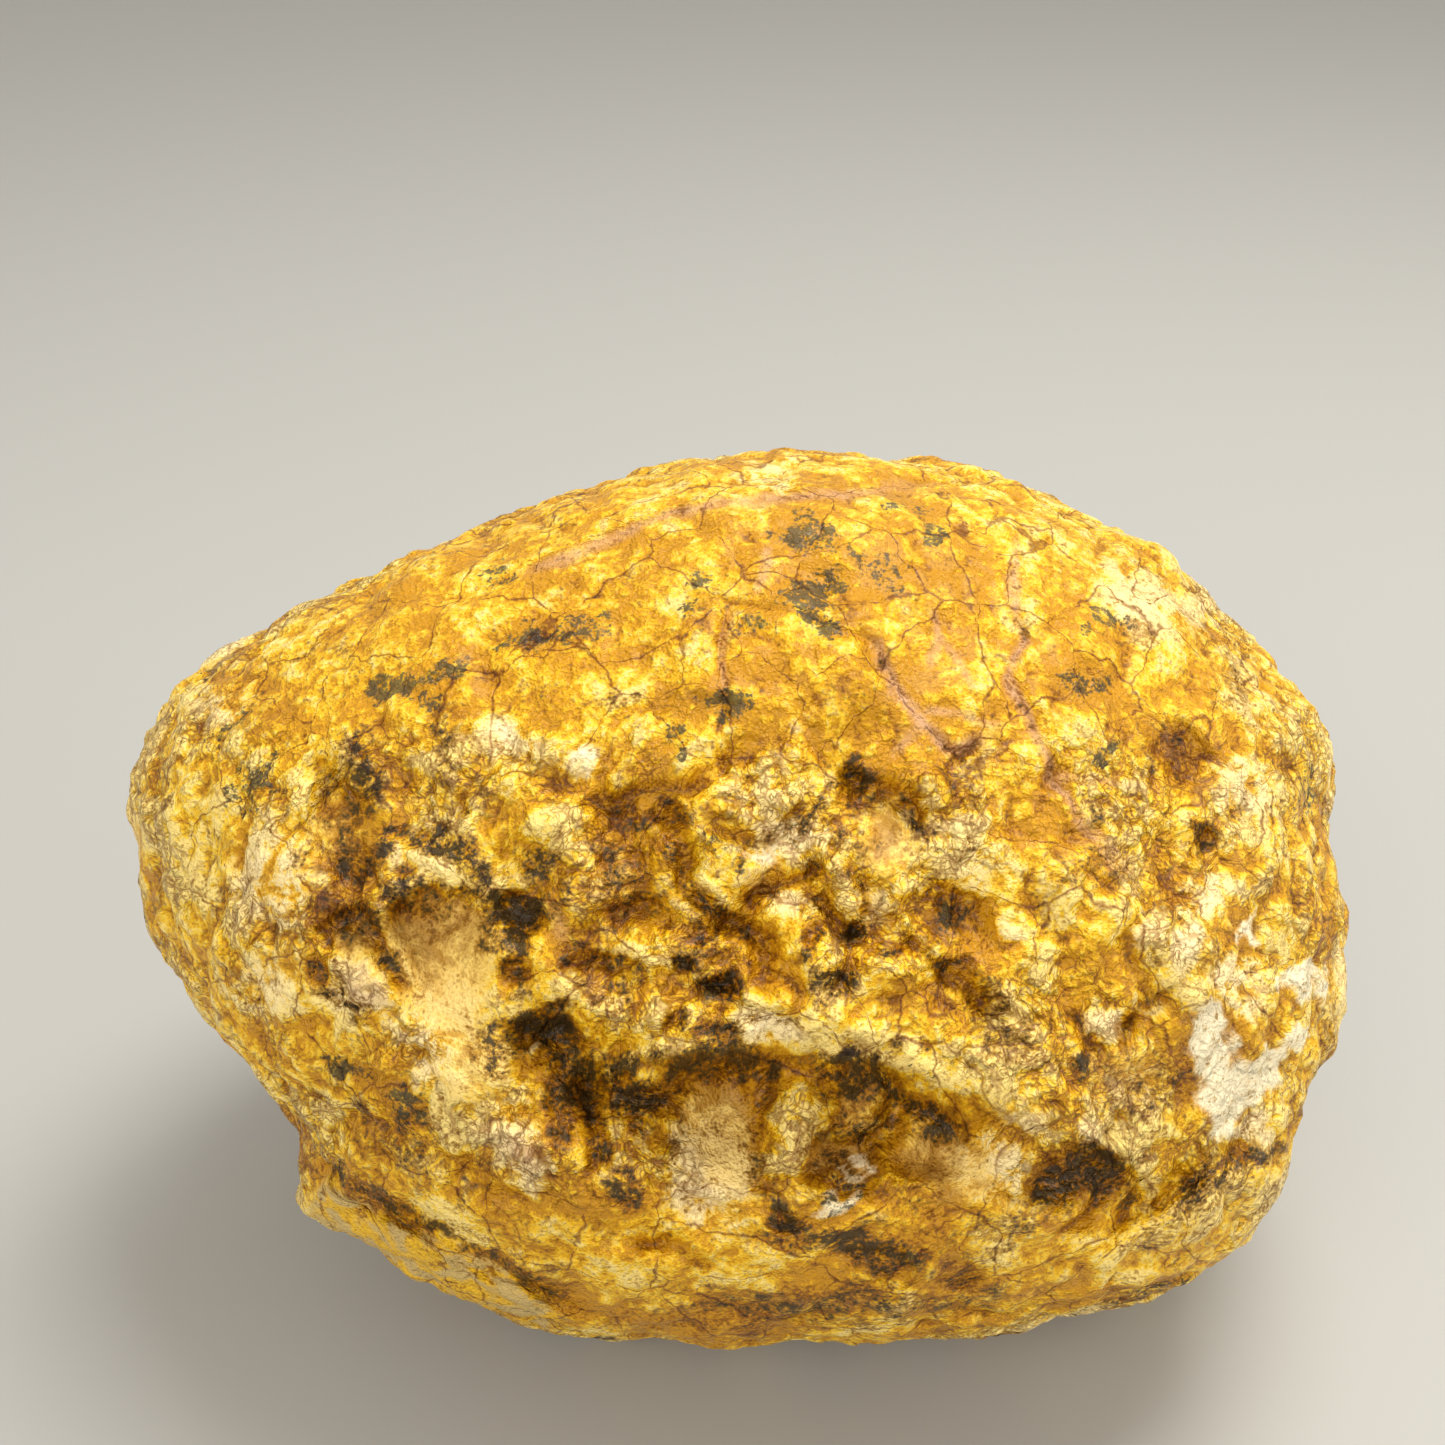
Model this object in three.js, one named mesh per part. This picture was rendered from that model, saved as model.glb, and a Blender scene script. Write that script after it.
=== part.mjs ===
// Unopened geode: one solid natural stone, about the size of a large mango.
// Units are millimetres, +Z is up. The stone rests on a flat at z = 0 and its
// pitted show side faces -Y and upwards. The long way of the stone is along X.
import * as THREE from 'three';

// ---------------------------------------------------------------- driving dimensions

// The stone is drawn round a centre, along the line from that centre to an eye point
// in front of it: half of its skin is then a field of depths as seen from the eye.
const CENTRE_HEIGHT = 47;
const EYE_ELEVATION = THREE.MathUtils.degToRad(35);
const EYE_DISTANCE = 240;
const AIM_ABOVE_CENTRE = Math.atan(182.5 / 1920);

// Widest contour round the sight line: [degrees from +X towards up, mm as seen].
const CONTOUR = [
  [2.4, 74.6], [7.3, 73.9], [13.8, 76.6], [17.5, 77.2], [21, 75.5], [25, 72.6], [30, 71.6],
  [40, 68.9], [50, 64.8], [60, 61.9], [70, 59.5], [80, 58.6], [90, 57.7], [100, 56.2],
  [110, 55.2], [120, 56.8], [130, 59.4], [140, 63.4], [150, 69.5], [160, 77], [165, 78.8],
  [170, 79.5], [175, 76.8], [180, 75.5], [190, 70.3], [200, 64.2], [206.9, 61.8],
  [209.9, 62.9], [215, 65.9], [221, 63.3], [228, 62.7], [237.5, 60.2], [245, 58.6],
  [257, 55.3], [270, 54.7], [280, 55], [290, 57.3], [300, 61.4], [310, 66.5], [318, 72.1],
  [324.3, 75.9], [331.8, 77.2], [336.2, 75.2], [340, 74.5], [345, 75.6], [350, 75.9],
  [354.3, 75.3], [357.6, 75.5],
];
const CONTOUR_DEPTH = 14; // how far the contour lies before the centre
const CONTOUR_SHARE = 1.01; // girth of the stone against that contour
const CONTOUR_ANGLE = THREE.MathUtils.degToRad(76); // where the contour is sharpest
const CONTOUR_SPREAD = THREE.MathUtils.degToRad(20);

// Depth of the rounded body before and behind the contour, and how boxy it is.
const FRONT_DEPTH = 54;
const BACK_DEPTH = 56;
const BODY_EXPONENT = 2.25;

// Resting flat: the skin eases into the plane z = 0 over this height on either side.
const FLAT_EASE = 2;

// Places the middle of the footprint on the origin.
const SHIFT = new THREE.Vector3(0.15, -1.58, 0);

// Uneven skin: wavelengths of the lumps, of the narrow folds and of the ragged rims of
// the pits, and how far those rims stray.
const LUMP_WAVE = 30;
const SMALL_LUMP_WAVE = 13;
const FOLD_WAVE = 11;
const RAGGED_WAVE = 12;
const RAGGED_REACH = 1.6;

// Mesh: cells along one edge of the cube the skin is wrapped from, and how far the
// cells are drawn together on the show side.
const CELLS = 28;
const SHOW_BIAS = 0.4;

// Pits and scoops of the show side, as seen from the eye point: at = [across, up] from
// the centre, half = [half width, height above, height below], turn in degrees, edge
// (small = steep rim) and lean (how much deeper it is at the top than at the bottom).
const PITS = [
  {
    name: 'recess under the brow', at: [12, -31], half: [27, 9.5, 14],
    turn: -8, depth: 3.4, edge: 0.9, lean: 0.4,
  },
  {
    name: 'great scoop', at: [-37, -4.5], half: [7.6, 6.4, 15],
    turn: 14, depth: 6.4, edge: 0.85, lean: 0.35,
  },
  {
    name: 'hole beside the scoop', at: [-28.4, -2.4], half: [2.7, 4.4, 5.4],
    turn: 8, depth: 6.4, edge: 1, lean: 0.3,
  },
  {
    name: 'side scoop', at: [-48.6, -3.6], half: [4.4, 4.4, 7.4],
    turn: 22, depth: 3.4, edge: 0.9, lean: 0.4,
  },
  { name: 'funnel over the eye', at: [-24, -15.6], half: [7, 5, 6], turn: -8, depth: 1.8, edge: 1.2 },
  {
    name: 'eye pit', at: [-24, -18.4], half: [6.2, 3.6, 5.6],
    turn: -10, depth: 4.6, edge: 0.85, lean: 0.6,
  },
  {
    name: 'floor by the cliff', at: [-22.6, -26], half: [5.6, 8, 9],
    turn: 12, depth: 2.6, edge: 1, lean: 0.2,
  },
  {
    name: 'left shell', at: [-4.4, -26.6], half: [9.4, 9, 16],
    turn: -12, depth: 6.2, edge: 0.85, lean: 0.5,
  },
  {
    name: 'hole in the left shell', at: [-12.6, -24.6], half: [3.6, 2.4, 2.8],
    depth: 3.2, edge: 1, lean: 0.4,
  },
  {
    name: 'right shell', at: [13.6, -26.4], half: [8, 6.8, 13],
    turn: -4, depth: 5.2, edge: 0.85, lean: 0.5,
  },
  { name: 'crystal pit', at: [12.4, -33], half: [4.8, 5.8, 6], depth: 4.2, edge: 0.9, lean: 0.3 },
  {
    name: 'ear shell', at: [23, -30], half: [8, 5.6, 7.6],
    turn: -26, depth: 3.6, edge: 0.85, lean: 0.5,
  },
  {
    name: 'corner pit', at: [41.6, -37], half: [8.4, 8.6, 7],
    turn: -16, depth: 6.8, edge: 0.85, lean: 0.55,
  },
  {
    name: 'west hollow', at: [-50.6, 11.6], half: [5.6, 8.8, 9],
    turn: 14, depth: 4, edge: 0.9, lean: 0.2,
  },
  { name: 'foot of the west hollow', at: [-49, 4.4], half: [3.8, 3.6, 4], depth: 2, edge: 1.2 },
  {
    name: 'north saucer', at: [17.6, 10.4], half: [6.8, 6.6, 5.8],
    turn: -22, depth: 3, edge: 0.85, lean: 0.5,
  },
  {
    name: 'brown basin', at: [-14, 9.6], half: [8.6, 6.8, 9.4],
    turn: -24, depth: 3.4, edge: 0.9, lean: 0.3,
  },
  { name: 'low end of the basin', at: [-14, -3], half: [8.6, 6, 6], turn: 30, depth: 2.2, edge: 1.2 },
  { name: 'brown hole', at: [-25.2, 4.4], half: [3, 4, 4.4], turn: -6, depth: 3, edge: 1, lean: 0.2 },
  {
    name: 'arched hollow', at: [-15.6, -10], half: [5.6, 4, 5.6],
    turn: 4, depth: 2.8, edge: 0.85, lean: 0.6,
  },
  { name: 'middle pit', at: [-3, -10.6], half: [3.6, 2.6, 3], depth: 3.4, edge: 0.9, lean: 0.5 },
  {
    name: 'east basin', at: [26.8, -2.6], half: [5.8, 4, 4],
    turn: -30, depth: 2.8, edge: 0.9, lean: 0.4,
  },
  {
    name: 'east gully', at: [30.6, -12], half: [5.4, 2.8, 3.2],
    turn: -36, depth: 2.2, edge: 1, lean: 0.3,
  },
  { name: 'east notch', at: [49.6, -15.6], half: [2.4, 4, 4], turn: -24, depth: 2, edge: 1 },
  { name: 'east hollow', at: [55.6, 17], half: [5, 8, 7], turn: 30, depth: 3.2, edge: 0.9, lean: 0.2 },
  {
    name: 'east spot', at: [57.2, 7.2], half: [3, 2.6, 2.8],
    turn: -20, depth: 2.2, edge: 1, lean: 0.3,
  },
  { name: 'dip under the knob', at: [72, 11], half: [3, 5, 5], depth: 2.6, edge: 1.2 },
  { name: 'north dip', at: [-3.6, 24.6], half: [4.4, 2.8, 3.4], depth: 1.6, edge: 1, lean: 0.3 },
  { name: 'west dip', at: [-38, 27], half: [6, 2.6, 3.4], turn: 16, depth: 1.6, edge: 1, lean: 0.3 },
  { name: 'east dip', at: [44, 27.6], half: [4.6, 3, 3.4], turn: -20, depth: 1.4, edge: 1, lean: 0.3 },
  { name: 'crown dip', at: [9.6, 40], half: [7, 3, 3.2], turn: -14, depth: 1.2, edge: 1, lean: 0.3 },
  {
    name: 'west trough', at: [-43.6, -24.2], half: [10, 2.8, 4.6],
    turn: -24, depth: 2.6, edge: 1, lean: 0.4,
  },
  {
    name: 'low west trough', at: [-31, -36], half: [9, 2.4, 3.4],
    turn: -28, depth: 1.5, edge: 1.1, lean: 0.2,
  },
  { name: 'valley pit', at: [3.8, -38.8], half: [2.8, 2.4, 2.4], depth: 2.4, edge: 0.9, lean: 0.3 },
];

// Bumps and swells of the show side, given the same way.
const BUMPS = [
  { name: 'brow', at: [8, -13.6], half: [20, 4, 5], turn: -8, height: 1.6, edge: 1.6 },
  { name: 'crown', at: [6, 30], half: [26, 12, 14], height: 1.5, edge: 2 },
  { name: 'west lobe', at: [-34, -24], half: [7, 9, 10], turn: 34, height: 2.4, edge: 1.4 },
  { name: 'floor of the left shell', at: [-3, -33], half: [5, 5, 6], height: 1.4, edge: 1.3 },
  { name: 'chin', at: [-10, -46], half: [18, 6, 6], height: 2.2, edge: 1.6 },
  { name: 'west boss', at: [-29.4, -30], half: [4.6, 3.6, 4], height: 1.6, edge: 1.2 },
  {
    name: 'crystals in the pit', at: [13.2, -36.8], half: [2.6, 2, 2.2],
    turn: 10, height: 2, edge: 1.1,
  },
  { name: 'east cheek', at: [57, -7], half: [9, 9, 10], height: 1.6, edge: 1.4 },
  { name: 'saddle', at: [34, -22], half: [9, 6, 7], turn: -30, height: 2.2, edge: 1.4 },
  { name: 'knob', at: [70, 22], half: [5, 6, 6], height: 1.6, edge: 1.4 },
];

// Long creases of the show side and ridges between its hollows: half width, depth or
// height, and the points they run through, [across, up] as seen from the eye point.
const CREASES = [
  {
    name: 'cliff', half: 2.2, depth: 3.4,
    through: [[-18.6, -19.4], [-17.9, -24.4], [-17.5, -30.6], [-17.8, -36.4]],
  },
  {
    name: 'basin crease', half: 1.4, depth: 2.6,
    through: [
      [-11, 13.4], [-6.6, 7.6], [-7, 2.6], [-3.8, -1.3], [1.9, -4.4], [3.1, -6.9], [1.9, -10.6],
    ],
  },
  {
    name: 'rim crease', half: 1.4, depth: 2.8,
    through: [
      [-55.4, -31], [-48, -36.2], [-39.5, -40.5], [-36, -43.6], [-27, -46.6], [-21.8, -49.5],
      [-15.8, -52.6],
    ],
  },
  {
    name: 'east ledge', half: 1.5, depth: 3.2,
    through: [[69, -29.6], [61.5, -31], [57.5, -32.6], [52.5, -36], [49, -39.6]],
  },
];
const RIDGES = [
  {
    name: 'scoop edge', half: 1.3, height: 1.6,
    through: [[-45.6, 2.6], [-42.6, -5], [-40.4, -11], [-37.5, -16]],
  },
  {
    name: 'ridge between shells', half: 2.2, height: 2.2,
    through: [[5.6, -19.6], [5.8, -25], [6.2, -31], [5.4, -37.6]],
  },
  {
    name: 'rim band', half: 2.8, height: 1.8,
    through: [[-55, -35], [-48, -40.2], [-40.5, -44.5], [-36, -46.8], [-27, -50], [-20, -53]],
  },
  {
    name: 'east band', half: 3.2, height: 1.8,
    through: [[66, -34.6], [60, -38], [52, -42.4], [42, -46.4]],
  },
  { name: 'east ridge', half: 1.8, height: 1, through: [[62, 18.6], [66, 14], [70, 8.6], [73.6, 3]] },
];

// Hollows of the sides and back: [degrees round from +X, height, half width, half height, depth].
const SIDE_HOLLOWS = [
  [60, 62, 9, 7, 4], [95, 40, 12, 9, 5], [120, 70, 7, 6, 3], [150, 34, 8, 6, 4], [78, 24, 7, 5, 3],
  [35, 40, 8, 9, 3.5], [172, 58, 6, 7, 2.5], [110, 22, 9, 5, 3], [135, 52, 6, 6, 3],
  [50, 80, 8, 6, 2.5], [15, 28, 6, 5, 2.5], [88, 74, 5, 5, 2.5], [160, 20, 6, 4, 2.5],
];

// ---------------------------------------------------------------- sight geometry

const ACROSS = new THREE.Vector3(1, 0, 0);
const RISE = new THREE.Vector3(0, Math.sin(EYE_ELEVATION), Math.cos(EYE_ELEVATION));
const TOWARDS = new THREE.Vector3(0, -Math.cos(EYE_ELEVATION), Math.sin(EYE_ELEVATION));
const CENTRE = new THREE.Vector3(0, 0, CENTRE_HEIGHT);
const EYE = CENTRE.clone().addScaledVector(TOWARDS, EYE_DISTANCE);
const AIM = TOWARDS.clone().multiplyScalar(-Math.cos(AIM_ABOVE_CENTRE))
  .addScaledVector(RISE, Math.sin(AIM_ABOVE_CENTRE));
const AIM_RISE = RISE.clone().multiplyScalar(Math.cos(AIM_ABOVE_CENTRE))
  .addScaledVector(TOWARDS, Math.sin(AIM_ABOVE_CENTRE));
const CENTRE_RISE = -Math.tan(AIM_ABOVE_CENTRE); // slope at which the eye sees the centre

// Where the eye sees a point: mm across and up from the centre.
function seenAt(point) {
  const way = point.clone().sub(EYE);
  const far = way.dot(AIM);
  return [EYE_DISTANCE * way.dot(ACROSS) / far, EYE_DISTANCE * (way.dot(AIM_RISE) / far - CENTRE_RISE)];
}

// The contour taken from what the eye sees onto a plane square to the sight line.
const SECTION = CONTOUR.map(([degrees, radius]) => {
  const turn = THREE.MathUtils.degToRad(degrees);
  const ray = AIM.clone().addScaledVector(ACROSS, radius * Math.cos(turn) / EYE_DISTANCE)
    .addScaledVector(AIM_RISE, radius * Math.sin(turn) / EYE_DISTANCE + CENTRE_RISE);
  const onPlane = ray.multiplyScalar((EYE_DISTANCE - CONTOUR_DEPTH) / -ray.dot(TOWARDS));
  const across = onPlane.dot(ACROSS);
  const up = onPlane.dot(RISE);
  return [(THREE.MathUtils.radToDeg(Math.atan2(up, across)) + 360) % 360, Math.hypot(across, up)];
});

// ---------------------------------------------------------------- curves and noise

const clamp01 = (value) => Math.min(1, Math.max(0, value));

function ease(value, low, high) {
  const t = clamp01((value - low) / (high - low));
  return t * t * (3 - 2 * t);
}

// Smooth closed curve through [degrees, radius] knots.
function radiusAt(degrees, knots) {
  const count = knots.length;
  const knot = (i) => {
    const lap = Math.floor(i / count);
    const [angle, radius] = knots[i - lap * count];
    return [angle + 360 * lap, radius];
  };
  const angle = THREE.MathUtils.euclideanModulo(degrees - knots[0][0], 360) + knots[0][0];
  let i = 0;
  while (i < count - 1 && knots[i + 1][0] <= angle) i += 1;
  const [[a0, r0], [a1, r1], [a2, r2], [a3, r3]] = [knot(i - 1), knot(i), knot(i + 1), knot(i + 2)];
  const span = a2 - a1;
  const t = (angle - a1) / span;
  const slope1 = (r2 - r0) / (a2 - a0) * span;
  const slope2 = (r3 - r1) / (a3 - a1) * span;
  return r1 * (1 + 2 * t) * (1 - t) ** 2 + slope1 * t * (1 - t) ** 2
    + r2 * t * t * (3 - 2 * t) + slope2 * t * t * (t - 1);
}

function scatter(x, y, z, seed) {
  const value = Math.sin(x * 127.1 + y * 311.7 + z * 74.7 + seed * 53.13) * 43758.5453;
  return value - Math.floor(value);
}

// Smooth random field, about -1 to 1, with features of the given wavelength.
function noise(point, wave, seed) {
  const [x, y, z] = [point.x / wave, point.y / wave, point.z / wave];
  const [bx, by, bz] = [Math.floor(x), Math.floor(y), Math.floor(z)];
  const [fx, fy, fz] = [x - bx, y - by, z - bz];
  const fade = (t) => t * t * t * (t * (t * 6 - 15) + 10);
  const share = (f, step) => (step ? fade(f) : 1 - fade(f));
  let total = 0;
  for (let corner = 0; corner < 8; corner += 1) {
    const [dx, dy, dz] = [corner >> 2, (corner >> 1) & 1, corner & 1];
    const [cx, cy, cz] = [bx + dx, by + dy, bz + dz];
    const pull = (scatter(cx, cy, cz, seed) * 2 - 1) * (fx - dx)
      + (scatter(cx, cy, cz, seed + 1) * 2 - 1) * (fy - dy)
      + (scatter(cx, cy, cz, seed + 2) * 2 - 1) * (fz - dz);
    total += share(fx, dx) * share(fy, dy) * share(fz, dz) * pull;
  }
  return total * 1.8;
}

// ---------------------------------------------------------------- skin of the stone

// Smooth body: a rounded box whose girth follows the contour near the contour and a
// calmer version of it (the mean over 48 degrees) towards the front and the back.
function bodyRadius(around, away) {
  const sharp = radiusAt(around, SECTION);
  let calm = 0;
  for (let step = -3; step <= 3; step += 1) calm += radiusAt(around + step * 8, SECTION) / 7;
  const follow = Math.exp(-(((away - CONTOUR_ANGLE) / CONTOUR_SPREAD) ** 2));
  const girth = (calm + (sharp - calm) * follow) * CONTOUR_SHARE;
  const depth = Math.cos(away) > 0 ? FRONT_DEPTH : BACK_DEPTH;
  return ((Math.sin(away) / girth) ** BODY_EXPONENT
    + (Math.abs(Math.cos(away)) / depth) ** BODY_EXPONENT) ** (-1 / BODY_EXPONENT);
}

// Lumps all over (larger on the hidden side), folds gathered round the middle of the
// show side, and the hollows of the sides and back.
function unevenness(point, forward) {
  const behind = 1 - ease(forward, -0.1, 0.45);
  const lumps = noise(point, LUMP_WAVE, 11) * (0.7 + 1.6 * behind)
    + noise(point, SMALL_LUMP_WAVE, 21) * (0.8 + 0.4 * behind);
  const [across, up] = seenAt(point);
  const middle = Math.exp(-(((across - 4) / 34) ** 2) - (((up + 6) / 24) ** 2));
  const fold = 1 - ease(Math.abs(noise(point, FOLD_WAVE, 91)), 0, 0.42);
  const round = THREE.MathUtils.radToDeg(Math.atan2(point.y, point.x));
  const out = Math.hypot(point.x, point.y);
  let hollow = 0;
  for (const [degrees, height, halfWidth, halfHeight, depth] of SIDE_HOLLOWS) {
    const turn = THREE.MathUtils.euclideanModulo(round - degrees + 180, 360) - 180;
    const side = THREE.MathUtils.degToRad(turn) * out / halfWidth;
    hollow += depth * clamp01(1 - side ** 2 - ((point.z - height) / halfHeight) ** 2) ** 1.2;
  }
  return lumps - (0.5 + 1.6 * middle) * fold - hollow;
}

// How much of a pit or bump, 0 to 1 or a little over, is under a place on the show side.
function patchShare(across, up, { at, half, edge, turn = 0, lean = 0 }) {
  const angle = THREE.MathUtils.degToRad(turn);
  const [dx, dy] = [across - at[0], up - at[1]];
  const side = (dx * Math.cos(angle) + dy * Math.sin(angle)) / half[0];
  const rise = dy * Math.cos(angle) - dx * Math.sin(angle);
  const lift = rise / (rise > 0 ? half[1] : half[2]);
  const steepness = 1.7 + (edge - 1.7) * ease(lift, -0.9, 0.5);
  return clamp01(1 - side ** 2 - lift ** 2) ** steepness * (1 + lean * lift);
}

// The same for a crease or ridge: full along its middle, fading out towards its ends.
function lineShare(across, up, { half, through }) {
  const legs = through.slice(1).map(([x, y], i) => ({
    from: through[i], run: [x - through[i][0], y - through[i][1]],
  }));
  const lengths = legs.map(({ run }) => Math.hypot(...run));
  const total = lengths.reduce((sum, length) => sum + length, 0);
  let [nearest, along, passed] = [Infinity, 0, 0];
  legs.forEach(({ from, run }, i) => {
    const [dx, dy] = [across - from[0], up - from[1]];
    const share = clamp01((dx * run[0] + dy * run[1]) / lengths[i] ** 2);
    const gap = Math.hypot(dx - share * run[0], dy - share * run[1]);
    if (gap < nearest) [nearest, along] = [gap, (passed + share * lengths[i]) / total];
    passed += lengths[i];
  });
  const taper = 0.15 + 0.85 * ease(along, 0, 0.12) * ease(1 - along, 0, 0.2);
  return taper * clamp01(1 - (nearest / (half * 1.6)) ** 2) ** 1.5;
}

// Point of the skin in a given direction from the centre; z of the direction looks
// towards the eye, x across and y up.
function skinPoint(direction) {
  const outward = ACROSS.clone().multiplyScalar(direction.x)
    .addScaledVector(RISE, direction.y).addScaledVector(TOWARDS, direction.z);
  const around = THREE.MathUtils.radToDeg(Math.atan2(direction.y, direction.x));
  const away = Math.acos(THREE.MathUtils.clamp(direction.z, -1, 1));
  const point = CENTRE.clone().addScaledVector(outward, bodyRadius(around, away));
  point.addScaledVector(outward, unevenness(point, direction.z));

  // pits and creases, with ragged outlines, sunk along the line of sight
  const [across, up] = seenAt(point);
  const sideways = noise(point, RAGGED_WAVE, 31) * RAGGED_REACH;
  const upwards = noise(point, RAGGED_WAVE, 41) * RAGGED_REACH;
  const patch = (form) => patchShare(across + sideways, up + upwards, form);
  const line = (form) => lineShare(across + sideways * 0.6, up + upwards * 0.6, form);
  let depth = 0;
  for (const pit of PITS) depth += pit.depth * patch(pit);
  for (const bump of BUMPS) depth -= bump.height * patch(bump);
  for (const crease of CREASES) depth += crease.depth * line(crease);
  for (const ridge of RIDGES) depth -= ridge.height * line(ridge);
  const sight = point.clone().sub(EYE).normalize();
  point.addScaledVector(sight, depth * ease(-outward.dot(sight), 0.05, 0.35));

  // resting flat
  if (point.z <= -FLAT_EASE) point.z = 0;
  else if (point.z < FLAT_EASE) point.z = (point.z + FLAT_EASE) ** 2 / (4 * FLAT_EASE);
  return point.add(SHIFT);
}

// Closed mesh: six square patches of a cube wrapped round the stone, sharing their edges.
function wrapStone() {
  const steps = Array.from({ length: CELLS + 1 }, (_, i) => Math.tan((2 * i / CELLS - 1) * Math.PI / 4));
  const patches = [
    (u, v) => [u, v, 1], (u, v) => [v, u, -1], (u, v) => [1, u, v],
    (u, v) => [-1, v, u], (u, v) => [v, 1, u], (u, v) => [u, -1, v],
  ];
  const positions = [];
  const triangles = [];
  const known = new Map();
  const vertex = (corner) => {
    const direction = new THREE.Vector3(...corner).normalize();
    const key = direction.toArray().map((value) => Math.round(value * 1e6) + 0).join();
    if (!known.has(key)) {
      known.set(key, known.size);
      direction.z += SHOW_BIAS;
      positions.push(...skinPoint(direction.normalize()).toArray());
    }
    return known.get(key);
  };
  for (const patch of patches) {
    for (let i = 0; i < CELLS; i += 1) {
      for (let j = 0; j < CELLS; j += 1) {
        const [a, b, c, d] = [[i, j], [i + 1, j], [i + 1, j + 1], [i, j + 1]]
          .map(([p, q]) => vertex(patch(steps[p], steps[q])));
        triangles.push(...((i + j) % 2 ? [a, b, c, a, c, d] : [a, b, d, b, c, d]));
      }
    }
  }
  const geometry = new THREE.BufferGeometry();
  geometry.setAttribute('position', new THREE.Float32BufferAttribute(positions, 3));
  geometry.setIndex(triangles);
  geometry.computeVertexNormals();
  return geometry;
}

const rind = new THREE.MeshStandardMaterial({ color: 0xc69b43, roughness: 0.45, metalness: 0 });
const geode = new THREE.Mesh(wrapStone(), rind);
geode.name = 'geode';

const stone = new THREE.Group();
stone.name = 'unopened_geode';
stone.add(geode);

export default stone;
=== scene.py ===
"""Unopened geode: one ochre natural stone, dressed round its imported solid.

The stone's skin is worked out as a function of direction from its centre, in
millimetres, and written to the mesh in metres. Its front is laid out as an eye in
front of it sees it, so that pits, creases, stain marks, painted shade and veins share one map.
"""

import logging
import math
from collections.abc import Sequence
from dataclasses import dataclass
from enum import Enum
from typing import ClassVar

import bpy
import numpy as np
from mathutils import Matrix, Vector


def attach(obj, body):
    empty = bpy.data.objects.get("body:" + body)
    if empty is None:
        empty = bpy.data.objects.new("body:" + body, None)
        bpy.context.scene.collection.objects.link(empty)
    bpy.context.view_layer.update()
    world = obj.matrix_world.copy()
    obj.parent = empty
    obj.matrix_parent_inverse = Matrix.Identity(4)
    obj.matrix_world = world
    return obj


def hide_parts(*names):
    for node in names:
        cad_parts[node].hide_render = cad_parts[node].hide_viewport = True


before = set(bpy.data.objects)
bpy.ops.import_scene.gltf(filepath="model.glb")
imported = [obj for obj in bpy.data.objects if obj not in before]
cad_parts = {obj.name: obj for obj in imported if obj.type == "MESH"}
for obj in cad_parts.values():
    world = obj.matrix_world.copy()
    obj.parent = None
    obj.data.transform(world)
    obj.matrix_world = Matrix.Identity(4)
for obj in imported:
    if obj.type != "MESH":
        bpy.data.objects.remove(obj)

LOG = logging.getLogger("geode")
MM = 0.001  # metres in a millimetre
Colour = tuple[float, float, float]
Place = tuple[float, float]  # across and up from the centre, as seen, in mm
Span = tuple[float, float]  # where something begins and where it is in full
Pair = tuple[float, float]  # two numbers that are used together


# ------------------------------------------------------------------ curves and noise


STRIDES = (127.1, 311.7, 74.7, 53.13)  # unrelated steps for x, y, z and the seed
STRETCH = 43758.5453  # large enough that neighbouring points share nothing
NOISE_GAIN = 1.8  # brings gradient noise to about -1 to 1


def ease(value: np.ndarray, low: float, high: float) -> np.ndarray:
    """Smooth step: 0 below low, 1 above high, 3t^2 - 2t^3 between them.

    Args:
        value: numbers to grade.
        low: where the step starts.
        high: where the step ends.

    Returns:
        The graded numbers, 0 to 1.
    """
    t = np.clip((value - low) / (high - low), 0.0, 1.0)
    return t * t * (3.0 - 2.0 * t)


def scatter(x: np.ndarray, y: np.ndarray, z: np.ndarray, seed: float) -> np.ndarray:
    """Fraction of a large multiple of a sine: a fixed random number per lattice point.

    Args:
        x, y, z: whole-number lattice coordinates.
        seed: picks one of many unrelated fields.

    Returns:
        Numbers from 0 to 1.
    """
    turn = x * STRIDES[0] + y * STRIDES[1] + z * STRIDES[2] + seed * STRIDES[3]
    value = np.sin(turn) * STRETCH
    return value - np.floor(value)


def noise(points: np.ndarray, wave: float, seed: float) -> np.ndarray:
    """Gradient noise: random slopes at lattice corners, faded into each other.

    Args:
        points: positions, in mm, one row each.
        wave: size of the lattice cells, in mm.
        seed: picks one of many unrelated fields.

    Returns:
        A smooth field, about -1 to 1.
    """
    q = points / wave
    base = np.floor(q)
    f = q - base
    fade = f * f * f * (f * (f * 6.0 - 15.0) + 10.0)
    total = np.zeros(len(points))
    for corner in np.ndindex(2, 2, 2):
        at = base + corner
        step = np.array(corner, float)
        slope = [scatter(*at.T, seed + k) * 2.0 - 1.0 for k in range(3)]
        share = np.prod(np.where(step > 0, fade, 1.0 - fade), axis=1)
        total += share * sum(slope[k] * (f[:, k] - step[k]) for k in range(3))
    return total * NOISE_GAIN


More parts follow.
